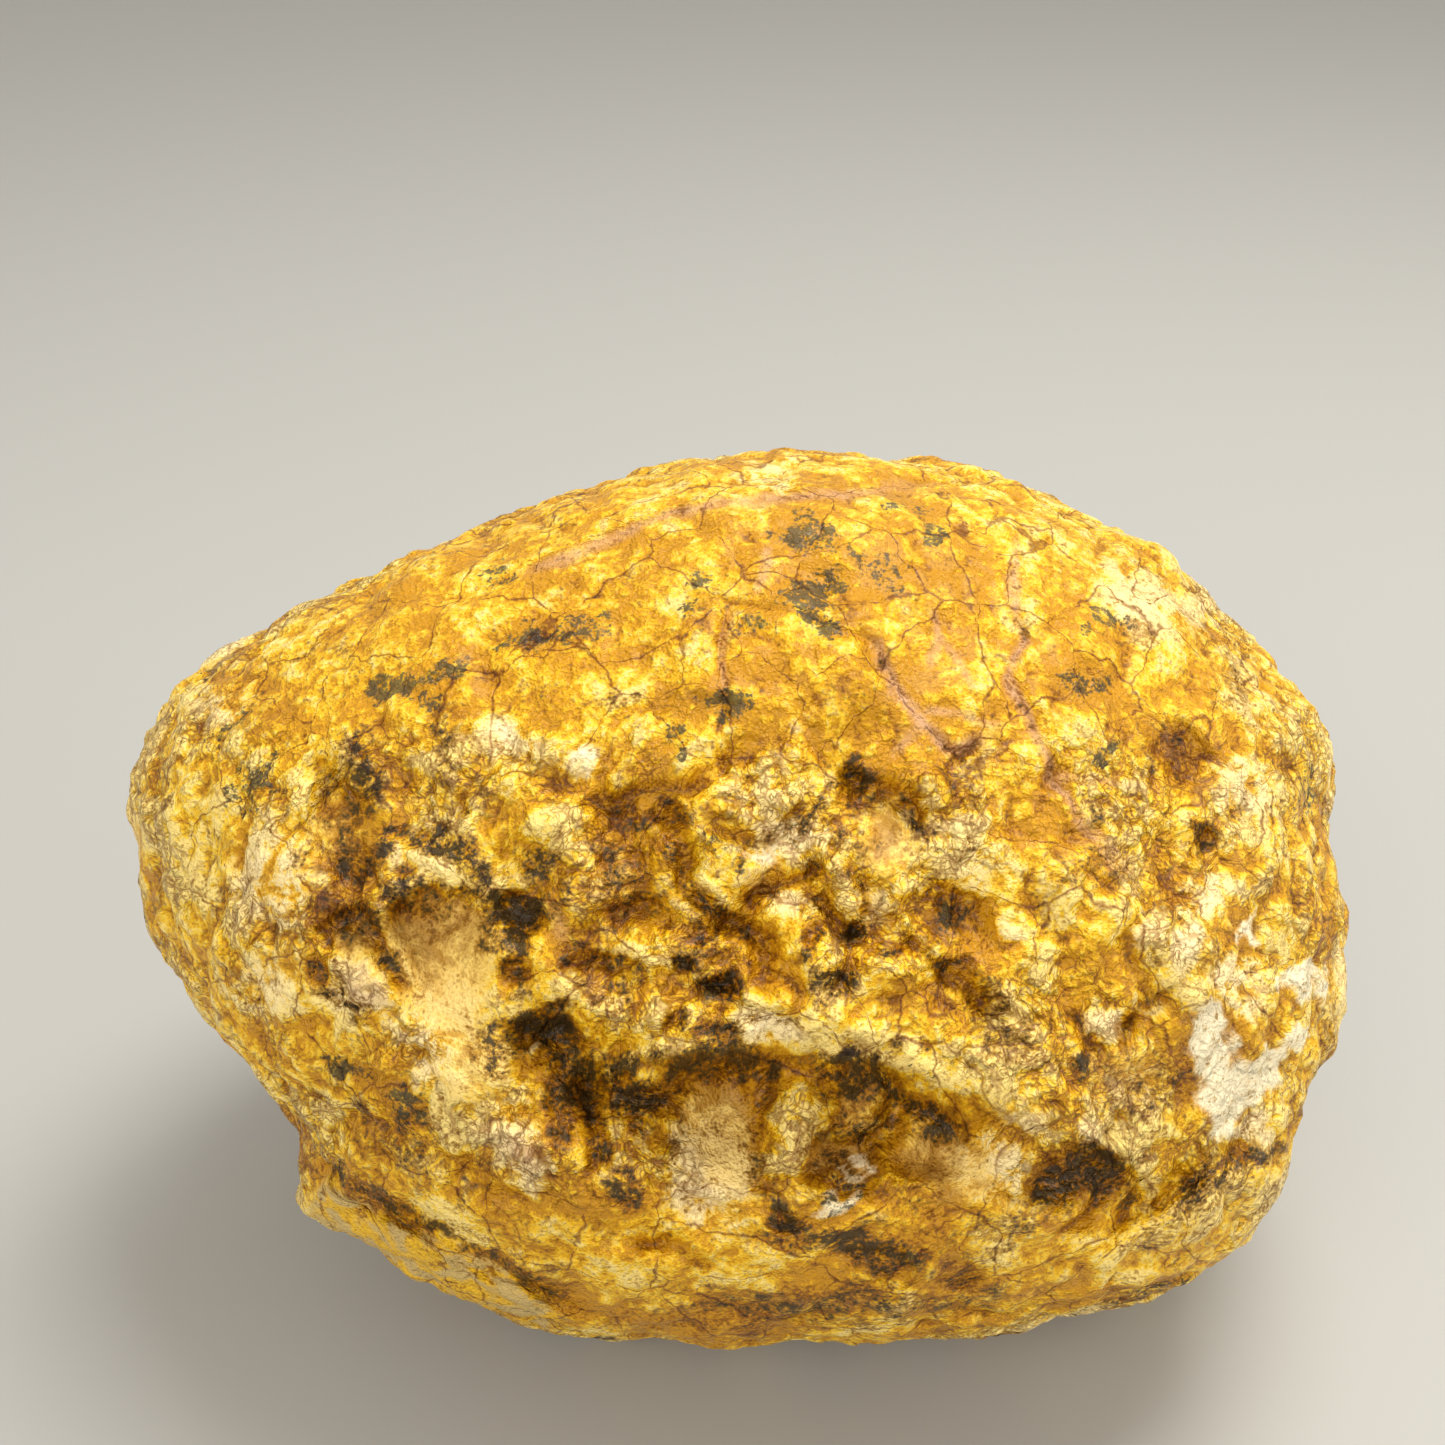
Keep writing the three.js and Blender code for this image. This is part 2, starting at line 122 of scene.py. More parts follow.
def cells(points: np.ndarray, wave: float, seed: float) -> tuple[np.ndarray, ...]:
    """Cellular field: how far the nearest and second nearest scattered seeds are.

    Args:
        points: positions, in mm, one row each.
        wave: usual distance between seeds, in mm.
        seed: picks one of many unrelated fields.

    Returns:
        Distance to the nearest seed, to the second nearest, both in waves, and a
        random number of the nearest seed.
    """
    q = points / wave
    base = np.floor(q)
    first = np.full(len(points), np.inf)
    second = first.copy()
    owner = np.zeros(len(points))
    for step in np.ndindex(3, 3, 3):
        at = base + np.array(step, float) - 1.0
        centre = np.stack([at[:, k] + scatter(*at.T, seed + k) for k in range(3)], axis=1)
        gap = np.linalg.norm(q - centre, axis=1)
        near = gap < first
        second = np.where(near, first, np.minimum(second, gap))
        owner = np.where(near, scatter(*at.T, seed + 3), owner)
        first = np.where(near, gap, first)
    return first, second, owner


@dataclass(frozen=True)
class Swell:
    """Noise of one size and strength.

    Attributes:
        wave: size of its features, in mm.
        seed: picks one of many unrelated fields.
        strength: what the noise is multiplied by.
    """

    wave: float
    seed: int
    strength: float = 1.0

    def at(self, points: np.ndarray) -> np.ndarray:
        """Strength times noise, at positions in mm."""
        return self.strength * noise(points, self.wave, self.seed)


@dataclass(frozen=True)
class Swirl:
    """Push in all directions, by three noises of one size.

    Attributes:
        wave: size of its features, in mm.
        seed: seed of the first noise; the next ones are 3 and 6 further on.
        reach: usual push, in mm.
    """

    wave: float
    seed: int
    reach: float

    def moved(self, points: np.ndarray) -> np.ndarray:
        """Points pushed about, in mm."""
        push = [noise(points, self.wave, self.seed + later) for later in (0, 3, 6)]
        return points + np.stack(push, axis=1) * self.reach


@dataclass(frozen=True)
class Stray:
    """Shift of places on the front, across and up, by noises of several sizes.

    Attributes:
        layers: size and reach of each noise, in mm.
        seeds: seed of the shift across and of the shift up; each layer's is 3 further on.
    """

    layers: Sequence[Pair]
    seeds: tuple[int, int]

    def shift(self, points: np.ndarray) -> tuple[np.ndarray, np.ndarray]:
        """Sum of reach times noise over the layers.

        Args:
            points: positions, in mm, one row each.

        Returns:
            The shift across and the shift up, in mm.
        """
        across, up = (
            sum(
                noise(points, wave, seed + 3 * k) * reach
                for k, (wave, reach) in enumerate(self.layers)
            )
            for seed in self.seeds
        )
        return across, up


@dataclass(frozen=True)
class Cloud:
    """Layered noise, each layer half the size and 0.62 of the strength of the last.

    Attributes:
        wave: size of the largest features, in mm.
        layers: how many layers.
        seed: seed of the first layer; each layer's is 4 further on.
    """

    wave: float
    layers: int
    seed: int
    finer: ClassVar[float] = 0.5
    weaker: ClassVar[float] = 0.62
    mean: ClassVar[float] = 0.5
    spread: ClassVar[float] = 0.11

    def at(self, points: np.ndarray) -> np.ndarray:
        """Sum of the layers, brought to one mean and spread.

        Args:
            points: positions, in mm, one row each.

        Returns:
            A field with a mean of 0.5 and a spread of 0.11, from 0 to 1.
        """
        heap = sum(
            noise(points, self.wave * self.finer**k, self.seed + 4 * k) * self.weaker**k
            for k in range(self.layers)
        )
        even = self.spread * (heap - heap.mean()) / heap.std()
        return np.clip(self.mean + even, 0.0, 1.0)


def rising(heights: Pair, share: np.ndarray) -> np.ndarray:
    """First height, plus the second times a share."""
    return heights[0] + heights[1] * share


def closed_curve(degrees: np.ndarray, knots: np.ndarray) -> np.ndarray:
    """Smooth closed curve: cubic pieces through knots, sloped by their neighbours.

    Args:
        degrees: angles to read the curve at.
        knots: rows of (degrees, radius), in rising angle within one turn.

    Returns:
        The radius at each angle.
    """
    angle = np.concatenate([knots[-2:, 0] - 360.0, knots[:, 0], knots[:2, 0] + 360.0])
    radius = np.concatenate([knots[-2:, 1], knots[:, 1], knots[:2, 1]])
    at = np.mod(degrees - knots[0, 0], 360.0) + knots[0, 0]
    i = np.clip(np.searchsorted(angle, at, side="right") - 1, 1, len(angle) - 3)
    span = angle[i + 1] - angle[i]
    t = (at - angle[i]) / span
    slope_1 = (radius[i + 1] - radius[i - 1]) / (angle[i + 1] - angle[i - 1]) * span
    slope_2 = (radius[i + 2] - radius[i]) / (angle[i + 2] - angle[i]) * span
    return (
        radius[i] * (1 + 2 * t) * (1 - t) ** 2
        + slope_1 * t * (1 - t) ** 2
        + radius[i + 1] * t * t * (3 - 2 * t)
        + slope_2 * t * t * (t - 1)
    )


# ------------------------------------------------------------------ sight of the front


@dataclass(frozen=True)
class Sight:
    """Eye point in front of the stone and the directions that go with it.

    All lengths are in mm, but for those of the image, which are in pixels. The centre
    is the middle of the stone's body; across is +X, rise and towards are square to it
    and to each other.

    Attributes:
        centre_height: height of the centre.
        elevation: how high the eye looks down from, in radians.
        distance: from the eye to the centre.
        image_width: width of the image.
        pixels_per_mm: scale of the image at the centre.
        centre_below: how far below the middle of the image the centre is seen.
        centre_right: how far to the right of it.
    """

    centre_height: float = 47.0
    elevation: float = math.radians(35.0)
    distance: float = 240.0
    image_width: float = 1445.0
    pixels_per_mm: float = 8.0
    centre_below: float = 182.5
    centre_right: float = 17.5

    @property
    def aim_above(self) -> float:
        """Angle by which the eye aims above the centre."""
        return math.atan(self.centre_below / (self.distance * self.pixels_per_mm))

    @property
    def aim_left(self) -> float:
        """Angle by which the eye aims to the left of the centre."""
        return math.atan(self.centre_right / (self.distance * self.pixels_per_mm))

    @property
    def across(self) -> np.ndarray:
        """Direction to the right, level."""
        return np.array([1.0, 0.0, 0.0])

    @property
    def rise(self) -> np.ndarray:
        """Direction up, square to the line from the centre to the eye."""
        return np.array([0.0, math.sin(self.elevation), math.cos(self.elevation)])

    @property
    def towards(self) -> np.ndarray:
        """Direction from the centre to the eye."""
        return np.array([0.0, -math.cos(self.elevation), math.sin(self.elevation)])

    @property
    def centre(self) -> np.ndarray:
        """Middle of the stone's body."""
        return np.array([0.0, 0.0, self.centre_height])

    @property
    def eye(self) -> np.ndarray:
        """Where the eye is."""
        return self.centre + self.distance * self.towards

    @property
    def aim(self) -> np.ndarray:
        """Direction the eye looks in, a little above the centre."""
        return math.sin(self.aim_above) * self.rise - math.cos(self.aim_above) * self.towards

    @property
    def aim_rise(self) -> np.ndarray:
        """Up as the eye sees it, square to its aim."""
        return math.cos(self.aim_above) * self.rise + math.sin(self.aim_above) * self.towards

    @property
    def centre_rise(self) -> float:
        """Slope at which the eye sees the centre."""
        return -math.tan(self.aim_above)

    def seen(self, points: np.ndarray) -> tuple[np.ndarray, np.ndarray]:
        """Perspective map: sideways and upwards slope from the eye, times distance.

        Args:
            points: positions, in mm, one row each.

        Returns:
            How far across and how far up from the centre each point is seen, in mm.
        """
        way = points - self.eye
        far = way @ self.aim
        across = self.distance * (way @ self.across) / far
        up = self.distance * (way @ self.aim_rise / far - self.centre_rise)
        return across, up

    def section(self, contour: np.ndarray, before: float) -> np.ndarray:
        """Contour as seen, cast along its rays onto a plane square to the sight line.

        Args:
            contour: rows of (degrees, mm as seen).
            before: how far the plane lies before the centre, in mm.

        Returns:
            Rows of (degrees, mm) on that plane.
        """
        turn = np.radians(contour[:, 0])
        ray = (
            self.aim
            + (contour[:, 1] * np.cos(turn) / self.distance)[:, None] * self.across
            + (contour[:, 1] * np.sin(turn) / self.distance + self.centre_rise)[:, None]
            * self.aim_rise
        )
        on_plane = ray * ((self.distance - before) / -(ray @ self.towards))[:, None]
        across, up = on_plane @ self.across, on_plane @ self.rise
        return np.stack([np.degrees(np.arctan2(up, across)) % 360.0, np.hypot(across, up)], 1)


@dataclass(frozen=True)
class Patch:
    """Oval place on the front: a pit, a bump or a stain.

    Attributes:
        name: what it is.
        at: across and up from the centre, as seen, in mm.
        half: half width, height above and height below, in mm.
        amount: depth or height in mm, or strength of a stain.
        edge: small for a steep rim, large for a soft one.
        turn: degrees anticlockwise.
        lean: how much more of it there is at the top than at the bottom.
    """

    name: str
    at: Place
    half: tuple[float, float, float]
    amount: float
    edge: float = 1.0
    turn: float = 0.0
    lean: float = 0.0
    foot_edge: ClassVar[float] = 1.7
    foot: ClassVar[Span] = (-0.9, 0.5)

    def share(self, across: np.ndarray, up: np.ndarray) -> np.ndarray:
        """Oval falloff: (1 - side^2 - lift^2) to a power that eases towards the foot.

        Args:
            across, up: places as seen, in mm.

        Returns:
            The amount at each place.
        """
        angle = math.radians(self.turn)
        dx, dy = across - self.at[0], up - self.at[1]
        side = (dx * math.cos(angle) + dy * math.sin(angle)) / self.half[0]
        rise = dy * math.cos(angle) - dx * math.sin(angle)
        lift = rise / np.where(rise > 0, self.half[1], self.half[2])
        steepness = self.foot_edge + (self.edge - self.foot_edge) * ease(lift, *self.foot)
        inside = np.clip(1.0 - side**2 - lift**2, 0.0, 1.0)
        return self.amount * inside**steepness * (1.0 + self.lean * lift)


@dataclass(frozen=True)
class Line:
    """Long mark on the front: a crease, a ridge or a vein.

    Attributes:
        name: what it is.
        half: half width, in mm.
        amount: depth or height in mm, or strength of a vein.
        through: places it runs through, across and up as seen, in mm.
    """

    name: str
    half: float
    amount: float
    through: Sequence[Place]
    end_share: ClassVar[float] = 0.15
    fade_in: ClassVar[float] = 0.12
    fade_out: ClassVar[float] = 0.2
    reach: ClassVar[float] = 1.6
    rounding: ClassVar[float] = 1.5

    def share(self, across: np.ndarray, up: np.ndarray) -> np.ndarray:
        """Rounded trough: (1 - (gap / 1.6 half widths)^2)^1.5, fading out at its ends.

        Args:
            across, up: places as seen, in mm.

        Returns:
            The amount at each place.
        """
        knots = np.array(self.through, float)
        runs = np.diff(knots, axis=0)
        lengths = np.linalg.norm(runs, axis=1)
        nearest = np.full(len(across), np.inf)
        along = np.zeros(len(across))
        for start, run, length, passed in zip(
            knots, runs, lengths, np.cumsum(lengths) - lengths
        ):
            dx, dy = across - start[0], up - start[1]
            part = np.clip((dx * run[0] + dy * run[1]) / length**2, 0.0, 1.0)
            gap = np.hypot(dx - part * run[0], dy - part * run[1])
            near = gap < nearest
            along = np.where(near, (passed + part * length) / lengths.sum(), along)
            nearest = np.where(near, gap, nearest)
        risen = (1.0 - self.end_share) * ease(along, 0.0, self.fade_in)
        taper = self.end_share + risen * ease(1.0 - along, 0.0, self.fade_out)
        inside = np.clip(1.0 - (nearest / (self.half * self.reach)) ** 2, 0.0, 1.0)
        return self.amount * taper * inside**self.rounding


Mark = Patch | Line


def total(marks: Sequence[Mark], across: np.ndarray, up: np.ndarray) -> np.ndarray:
    """Sum of several marks at each place.

    Args:
        marks: patches and lines.
        across, up: places as seen, in mm.

    Returns:
        The summed amount.
    """
    return sum((mark.share(across, up) for mark in marks), np.zeros(len(across)))


def strongest(marks: Sequence[Mark], across: np.ndarray, up: np.ndarray) -> np.ndarray:
    """Strongest of several marks at each place, 0 to 1.

    Args:
        marks: patches and lines.
        across, up: places as seen, in mm.

    Returns:
        The strongest amount.
    """
    return np.clip(np.max([mark.share(across, up) for mark in marks], axis=0), 0.0, 1.0)


# ------------------------------------------------------------------ the stone's form

# Marks of the front are placed as the eye sees them: (across, up) from the
# centre, in mm. Pits and creases go in, bumps and ridges stand out, all in mm.


CONTOUR = (
    (2.4, 74.6), (7.3, 73.9), (13.8, 76.6), (17.5, 77.2), (21, 75.5), (25, 72.6),
    (30, 71.6), (40, 68.9), (50, 64.8), (60, 61.9), (70, 59.5), (80, 58.6),
    (90, 57.7), (100, 56.2), (110, 55.2), (120, 56.8), (130, 59.4), (140, 63.4),
    (150, 69.5), (160, 77), (165, 78.8), (170, 79.5), (175, 76.8), (180, 75.5),
    (190, 70.3), (200, 64.2), (206.9, 61.8), (209.9, 62.9), (215, 65.9), (221, 63.3),
    (228, 62.7), (237.5, 60.2), (245, 58.6), (257, 55.3), (270, 54.7), (280, 55),
    (290, 57.3), (300, 61.4), (310, 66.5), (318, 72.1), (324.3, 75.9), (331.8, 77.2),
    (336.2, 75.2), (340, 74.5), (345, 75.6), (350, 75.9), (354.3, 75.3), (357.6, 75.5),
)  # widest contour round the sight line: degrees from +X towards up, mm as seen

PITS = (
    Patch("recess under the brow", (8, -29), (30, 10.4, 17), 6.4, 0.55, -7, 0.5),
    Patch("great scoop", (-38.2, -4.4), (7.4, 6.4, 17), 5.6, 0.65, 12, 0.4),
    Patch("hole beside the scoop", (-28.6, -2.6), (3.8, 4.2, 6), 3.4, 1.0, 10, 0.3),
    Patch("foot of that hole", (-28.8, -9), (2.2, 2, 2.6), 1.6),
    Patch("side scoop", (-49, -3.4), (5, 3.6, 7), 2.4, 0.8, 22, 0.5),
    Patch("funnel over the eye", (-22, -18), (10, 6, 9), 2.8, 1.2, -30),
    Patch("eye pit", (-24.4, -17.8), (5.6, 3.4, 5), 3.6, 0.75, -10, 0.6),
    Patch("hole over the eye", (-23.3, -13.3), (1.4, 1.2, 1.2), 1.6, 0.8),
    Patch("hollow below the eye", (-19.4, -25), (5.6, 7, 9), 3.8, 0.9, -16, 0.3),
    Patch("left shell", (-3.2, -25.4), (8.6, 7.8, 15), 5.8, 0.6, -6, 0.7),
    Patch("hole in the left shell", (-12.2, -25), (3.8, 2.4, 3.8), 2.6, 0.9, 0, 0.4),
    Patch("right shell", (15, -25.6), (7.2, 6, 13), 5.2, 0.65, -14, 0.6),
    Patch("crystal pit", (13.4, -33), (5.6, 5.8, 7), 3.4, 0.65, 0, 0.3),
    Patch("ear shell", (23, -30), (8, 5.6, 7.6), 4.2, 0.7, -26, 0.5),
    Patch("fold in the ear shell", (25.4, -32.6), (2.8, 4.6, 5), 1.8, 0.9, -32, 0.3),
    Patch("corner pit", (42.6, -35.8), (8, 7, 8), 6.0, 0.6, -4, 0.6),
    Patch("low slot", (17.4, -45), (5.6, 1.9, 3), 2.8, 0.9, -8, 0.4),
    Patch("low spot", (26.8, -46.2), (3.4, 1.8, 2.4), 2.4, 1.0, -10, 0.4),
    Patch("west hollow", (-50.6, 11.6), (5.6, 8.8, 9), 4.0, 0.9, 14, 0.2),
    Patch("foot of the west hollow", (-49, 4.4), (3.8, 3.6, 4), 2.0, 1.2),
    Patch("north saucer", (17.6, 10.4), (6.8, 6.6, 5.8), 2.2, 0.85, -22, 0.5),
    Patch("lip of the saucer", (14, 15.6), (3, 1.7, 3), 2.0, 1.0, 0, 0.4),
    Patch("brown basin", (-14, 7.6), (8.6, 8, 10), 2.6, 1.1, -24, 0.2),
    Patch("low end of the basin", (-14, -3), (8.6, 6, 6), 2.2, 1.2, 30),
    Patch("brown trough", (-26, 4), (6.4, 5, 6), 2.4, 1.2, -30, 0.2),
    Patch("arched hollow", (-16.8, -9.6), (5.4, 4.2, 5.6), 2.0, 0.7, -8, 0.6),
    Patch("speck pit", (-7, -7.3), (1.8, 1.4, 1.6), 1.8, 0.8, 0, 0.4),
    Patch("middle pit", (-3, -10.8), (3.6, 2.6, 3.6), 2.4, 0.9, 0, 0.5),
    Patch("lower middle pit", (-2.6, -15.2), (3.6, 1.5, 2.2), 2.0, 0.8, 4, 0.4),
    Patch("third pit", (-8.2, -14.4), (1.6, 1.3, 1.5), 1.4, 0.9),
    Patch("nick under the boss", (14, -2.2), (1.8, 1.2, 2.4), 1.6, 0.8, 0, 0.4),
    Patch("nick", (10, -4.6), (1.5, 3.2, 2.2), 2.0, 0.9, -14),
    Patch("east basin", (26.8, -2.2), (6.6, 4, 4.4), 2.0, 1.1, -30, 0.5),
    Patch("east gully", (30.6, -11.6), (5.4, 2.4, 3.2), 1.4, 1.0, -40, 0.3),
    Patch("east notch", (49.4, -16), (1.8, 3.6, 3.6), 1.2, 1.1, -10),
    Patch("east hollow", (55.6, 17), (5, 8, 7), 2.4, 1.1, 30, 0.2),
    Patch("east spot", (57.2, 7.6), (3.4, 2.8, 3), 1.6, 1.2, -20, 0.3),
    Patch("dip under the knob", (72, 11), (3, 5, 5), 2.6, 1.2),
    Patch("north dip", (-3.6, 24.6), (4.8, 3, 3.6), 1.0, 1.2, 0, 0.3),
    Patch("west dip", (-38, 27), (6, 2.6, 3.4), 1.0, 1.2, 16, 0.3),
    Patch("east dip", (44, 27.6), (4.6, 3, 3.4), 1.4, 1.0, -20, 0.3),
    Patch("crown dip", (9.6, 40), (7, 3, 3.2), 0.7, 1.2, -14, 0.3),
    Patch("west trough", (-43.6, -24.2), (10, 2.8, 4.6), 2.6, 1.0, -24, 0.4),
    Patch("low west trough", (-31, -36), (9, 2.4, 3.4), 1.5, 1.1, -28, 0.2),
    Patch("valley pit", (5.4, -39.4), (2.8, 2.4, 2.6), 1.4, 1.1, 0, 0.3),
    Patch("dark nook", (19.4, -19.4), (2.2, 1.4, 1.8), 1.6, 0.9, 0, 0.4),
    Patch("west speck", (-69.8, -1.4), (1.8, 2.4, 2), 1.8),
    Patch("rim hole", (-51, -35.5), (2.4, 1.8, 1.8), 2.2),
)

BUMPS = (
    Patch("brow", (5, -15), (18, 5.4, 3.4), 2.8, 1.1, -4),
    Patch("brow, right", (20, -19.6), (9, 3.6, 2.8), 1.8, 1.1, -28),
    Patch("boss beside the nick", (13.6, 0.6), (2.4, 2.2, 2.2), 1.8),
    Patch("crown", (6, 30), (26, 12, 14), 1.5, 2.0),
    Patch("west lobe", (-34, -24), (7, 9, 10), 2.4, 1.4, 34),
    Patch("floor of the left shell", (-3, -33), (5, 5, 6), 1.4, 1.3),
    Patch("chin", (-10, -46), (18, 6, 6), 2.2, 1.6),
    Patch("west boss", (-29.4, -30), (4.6, 3.6, 4), 1.6, 1.2),
    Patch("lower crystals", (13, -37.7), (3.2, 1.4, 1.6), 2.0, 0.6, 4),
    Patch("upper crystals", (13.2, -34.7), (2.4, 1.2, 1.2), 1.8, 0.6, -16),
    Patch("side crystals", (15.4, -32.4), (1.5, 1.5, 1.5), 1.2, 0.8),
    Patch("ridge between the shells, top", (7.8, -25.4), (4.6, 3, 5), 1.4),
    Patch("pinkish lump", (-47.4, -10.4), (5, 2.8, 2.8), 1.6, 1.0, -46),
    Patch("lump in the eye", (-26.2, -19), (2, 1.2, 1.4), 1.4, 0.9, -12),
    Patch("lump below the brow", (-29.4, -29.4), (3, 2.4, 2.6), 1.2),
    Patch("east cheek", (57, -7), (9, 9, 10), 1.6, 1.4),
    Patch("pale lump a", (56, -5.4), (2.8, 2.6, 2.6), 1.0),
    Patch("pale lump b", (60, -1.4), (3.2, 2.8, 2.8), 1.0),
    Patch("pale lump c", (61.6, -11), (3.2, 3, 3), 1.0),
    Patch("pale lump d", (51, -4), (2.4, 2.2, 2.2), 0.9),
    Patch("pale lump e", (46, -15), (3.4, 2.6, 2.6), 1.3, 1.0, -10),
    Patch("pale lump f", (70.4, -9.8), (4.6, 2.4, 2.6), 1.8, 0.8, -6),
    Patch("saddle", (34, -22), (9, 6, 7), 2.2, 1.4, -30),
    Patch("knob", (70, 22), (5, 6, 6), 1.6, 1.4),
)

WEST_LINE = ((-54.5, -6.5), (-52.6, -9.5), (-48.6, -13), (-45, -16.4))
TOP_SEAM = ((-28, 41), (-17, 45.6), (-7.5, 49.4), (5, 51.2), (24, 52))
EAST_SEAM = (
    (35, 47.5), (33.8, 41.9), (35.6, 33.1), (33.1, 28.7), (36.3, 23.1), (39.4, 16.9),
    (42.5, 10.6),
)

CREASES = (
    Line("cliff", 1.6, 2.0, ((-18.8, -18), (-18.4, -23), (-17.6, -28), (-17.4, -34.6))),
    Line("shadow of the scoop's rim", 1.3, 1.3, ((-48, 0.4), (-46.4, -3), (-44, -7.4), (-42, -11))),
    Line(
        "dark side of the shell ridge", 0.9, 0.8,
        ((4.5, -20.6), (3.6, -24), (2.4, -28), (2.8, -33), (4.6, -37.6)),
    ),
    Line(
        "basin crease", 1.4, 2.6,
        ((-11, 13.4), (-6.6, 7.6), (-7, 2.6), (-3.8, -1.3), (1.9, -4.4), (3.1, -6.9), (1.9, -10.6)),
    ),
    Line("edge of the brow", 1.2, 1.8, ((17.5, -22), (20.5, -24), (27, -27), (32, -31))),
    Line(
        "rim crease", 1.4, 2.8,
        (
            (-55.4, -31), (-48, -36.2), (-39.5, -40.5), (-36, -43.6), (-27, -46.6),
            (-21.8, -49.5), (-15.8, -52.6),
        ),
    ),
    Line(
        "east ledge", 1.5, 3.2,
        ((69, -29.6), (61.5, -31), (57.5, -32.6), (52.5, -36), (49, -39.6)),
    ),
    Line("chin crease", 0.9, 1.4, ((-13.8, -42.7), (-9, -42), (-5.8, -44.2), (-2.2, -46.8))),
    Line("west seam", 0.9, 1.2, ((-73, 15), (-67.5, 10.5), (-62, 4), (-57, -0.5))),
    Line("west line", 0.9, 1.2, WEST_LINE),
    Line(
        "base seam", 1.0, 1.6,
        ((0, -51), (12, -51.4), (24, -51.4), (38, -49.5), (50, -46.2), (60, -41)),
    ),
    Line("middle crack", 0.7, 1.2, ((-1, 1), (4, 2), (9, 3.6), (11.6, 6.8), (11.4, 10))),
    Line("east crack", 0.8, 1.4, ((19, -2), (26, -9), (33, -13), (40, -15.6))),
    Line(
        "long crack", 0.6, 0.8,
        ((-5, 38.4), (1.3, 37.5), (10, 35.6), (16.9, 32.5), (19.4, 27.5), (22.5, 23.1)),
    ),
    Line("fork of the long crack", 0.6, 0.7, ((22.5, 22.6), (26.9, 18.8), (30, 20.6))),
    Line("north crack", 0.5, 0.8, ((-1.9, 38), (-1.9, 28), (-2.5, 20.6))),
    Line("top seam", 0.9, 0.8, TOP_SEAM),
    Line("east seam", 0.8, 0.9, EAST_SEAM),
    Line("east gouge", 0.9, 0.8, ((53.6, -10.4), (49.8, -13.6), (49, -18.4))),
)

RIM_BAND = Line(
    "rim band", 2.8, 1.8,
    ((-55, -35), (-48, -40.2), (-40.5, -44.5), (-36, -46.8), (-27, -50), (-20, -53)),
)

RIDGES = (
    Line("scoop edge", 1.0, 1.5, ((-45.6, 1), (-44.4, -2.6), (-42.2, -6.8), (-40.4, -10.4))),
    Line("ridge between shells", 2.4, 2.2, ((6.6, -21.4), (6.8, -26), (6.4, -31), (5.8, -35.6))),
    RIM_BAND,
    Line("east band", 3.2, 1.8, ((66, -34.6), (60, -38), (52, -42.4), (42, -46.4))),
    Line("east ridge", 1.8, 1.0, ((62, 18.6), (66, 14), (70, 8.6), (73.6, 3))),
)

SIDE_HOLLOWS = (
    (60, 62, 9, 7, 4), (95, 40, 12, 9, 5), (120, 70, 7, 6, 3), (150, 34, 8, 6, 4),
    (78, 24, 7, 5, 3), (35, 40, 8, 9, 3.5), (172, 58, 6, 7, 2.5), (110, 22, 9, 5, 3),
    (135, 52, 6, 6, 3), (50, 80, 8, 6, 2.5), (15, 28, 6, 5, 2.5), (88, 74, 5, 5, 2.5),
    (160, 20, 6, 4, 2.5),
)  # hidden sides: degrees round from +X, height, half width, half height, depth
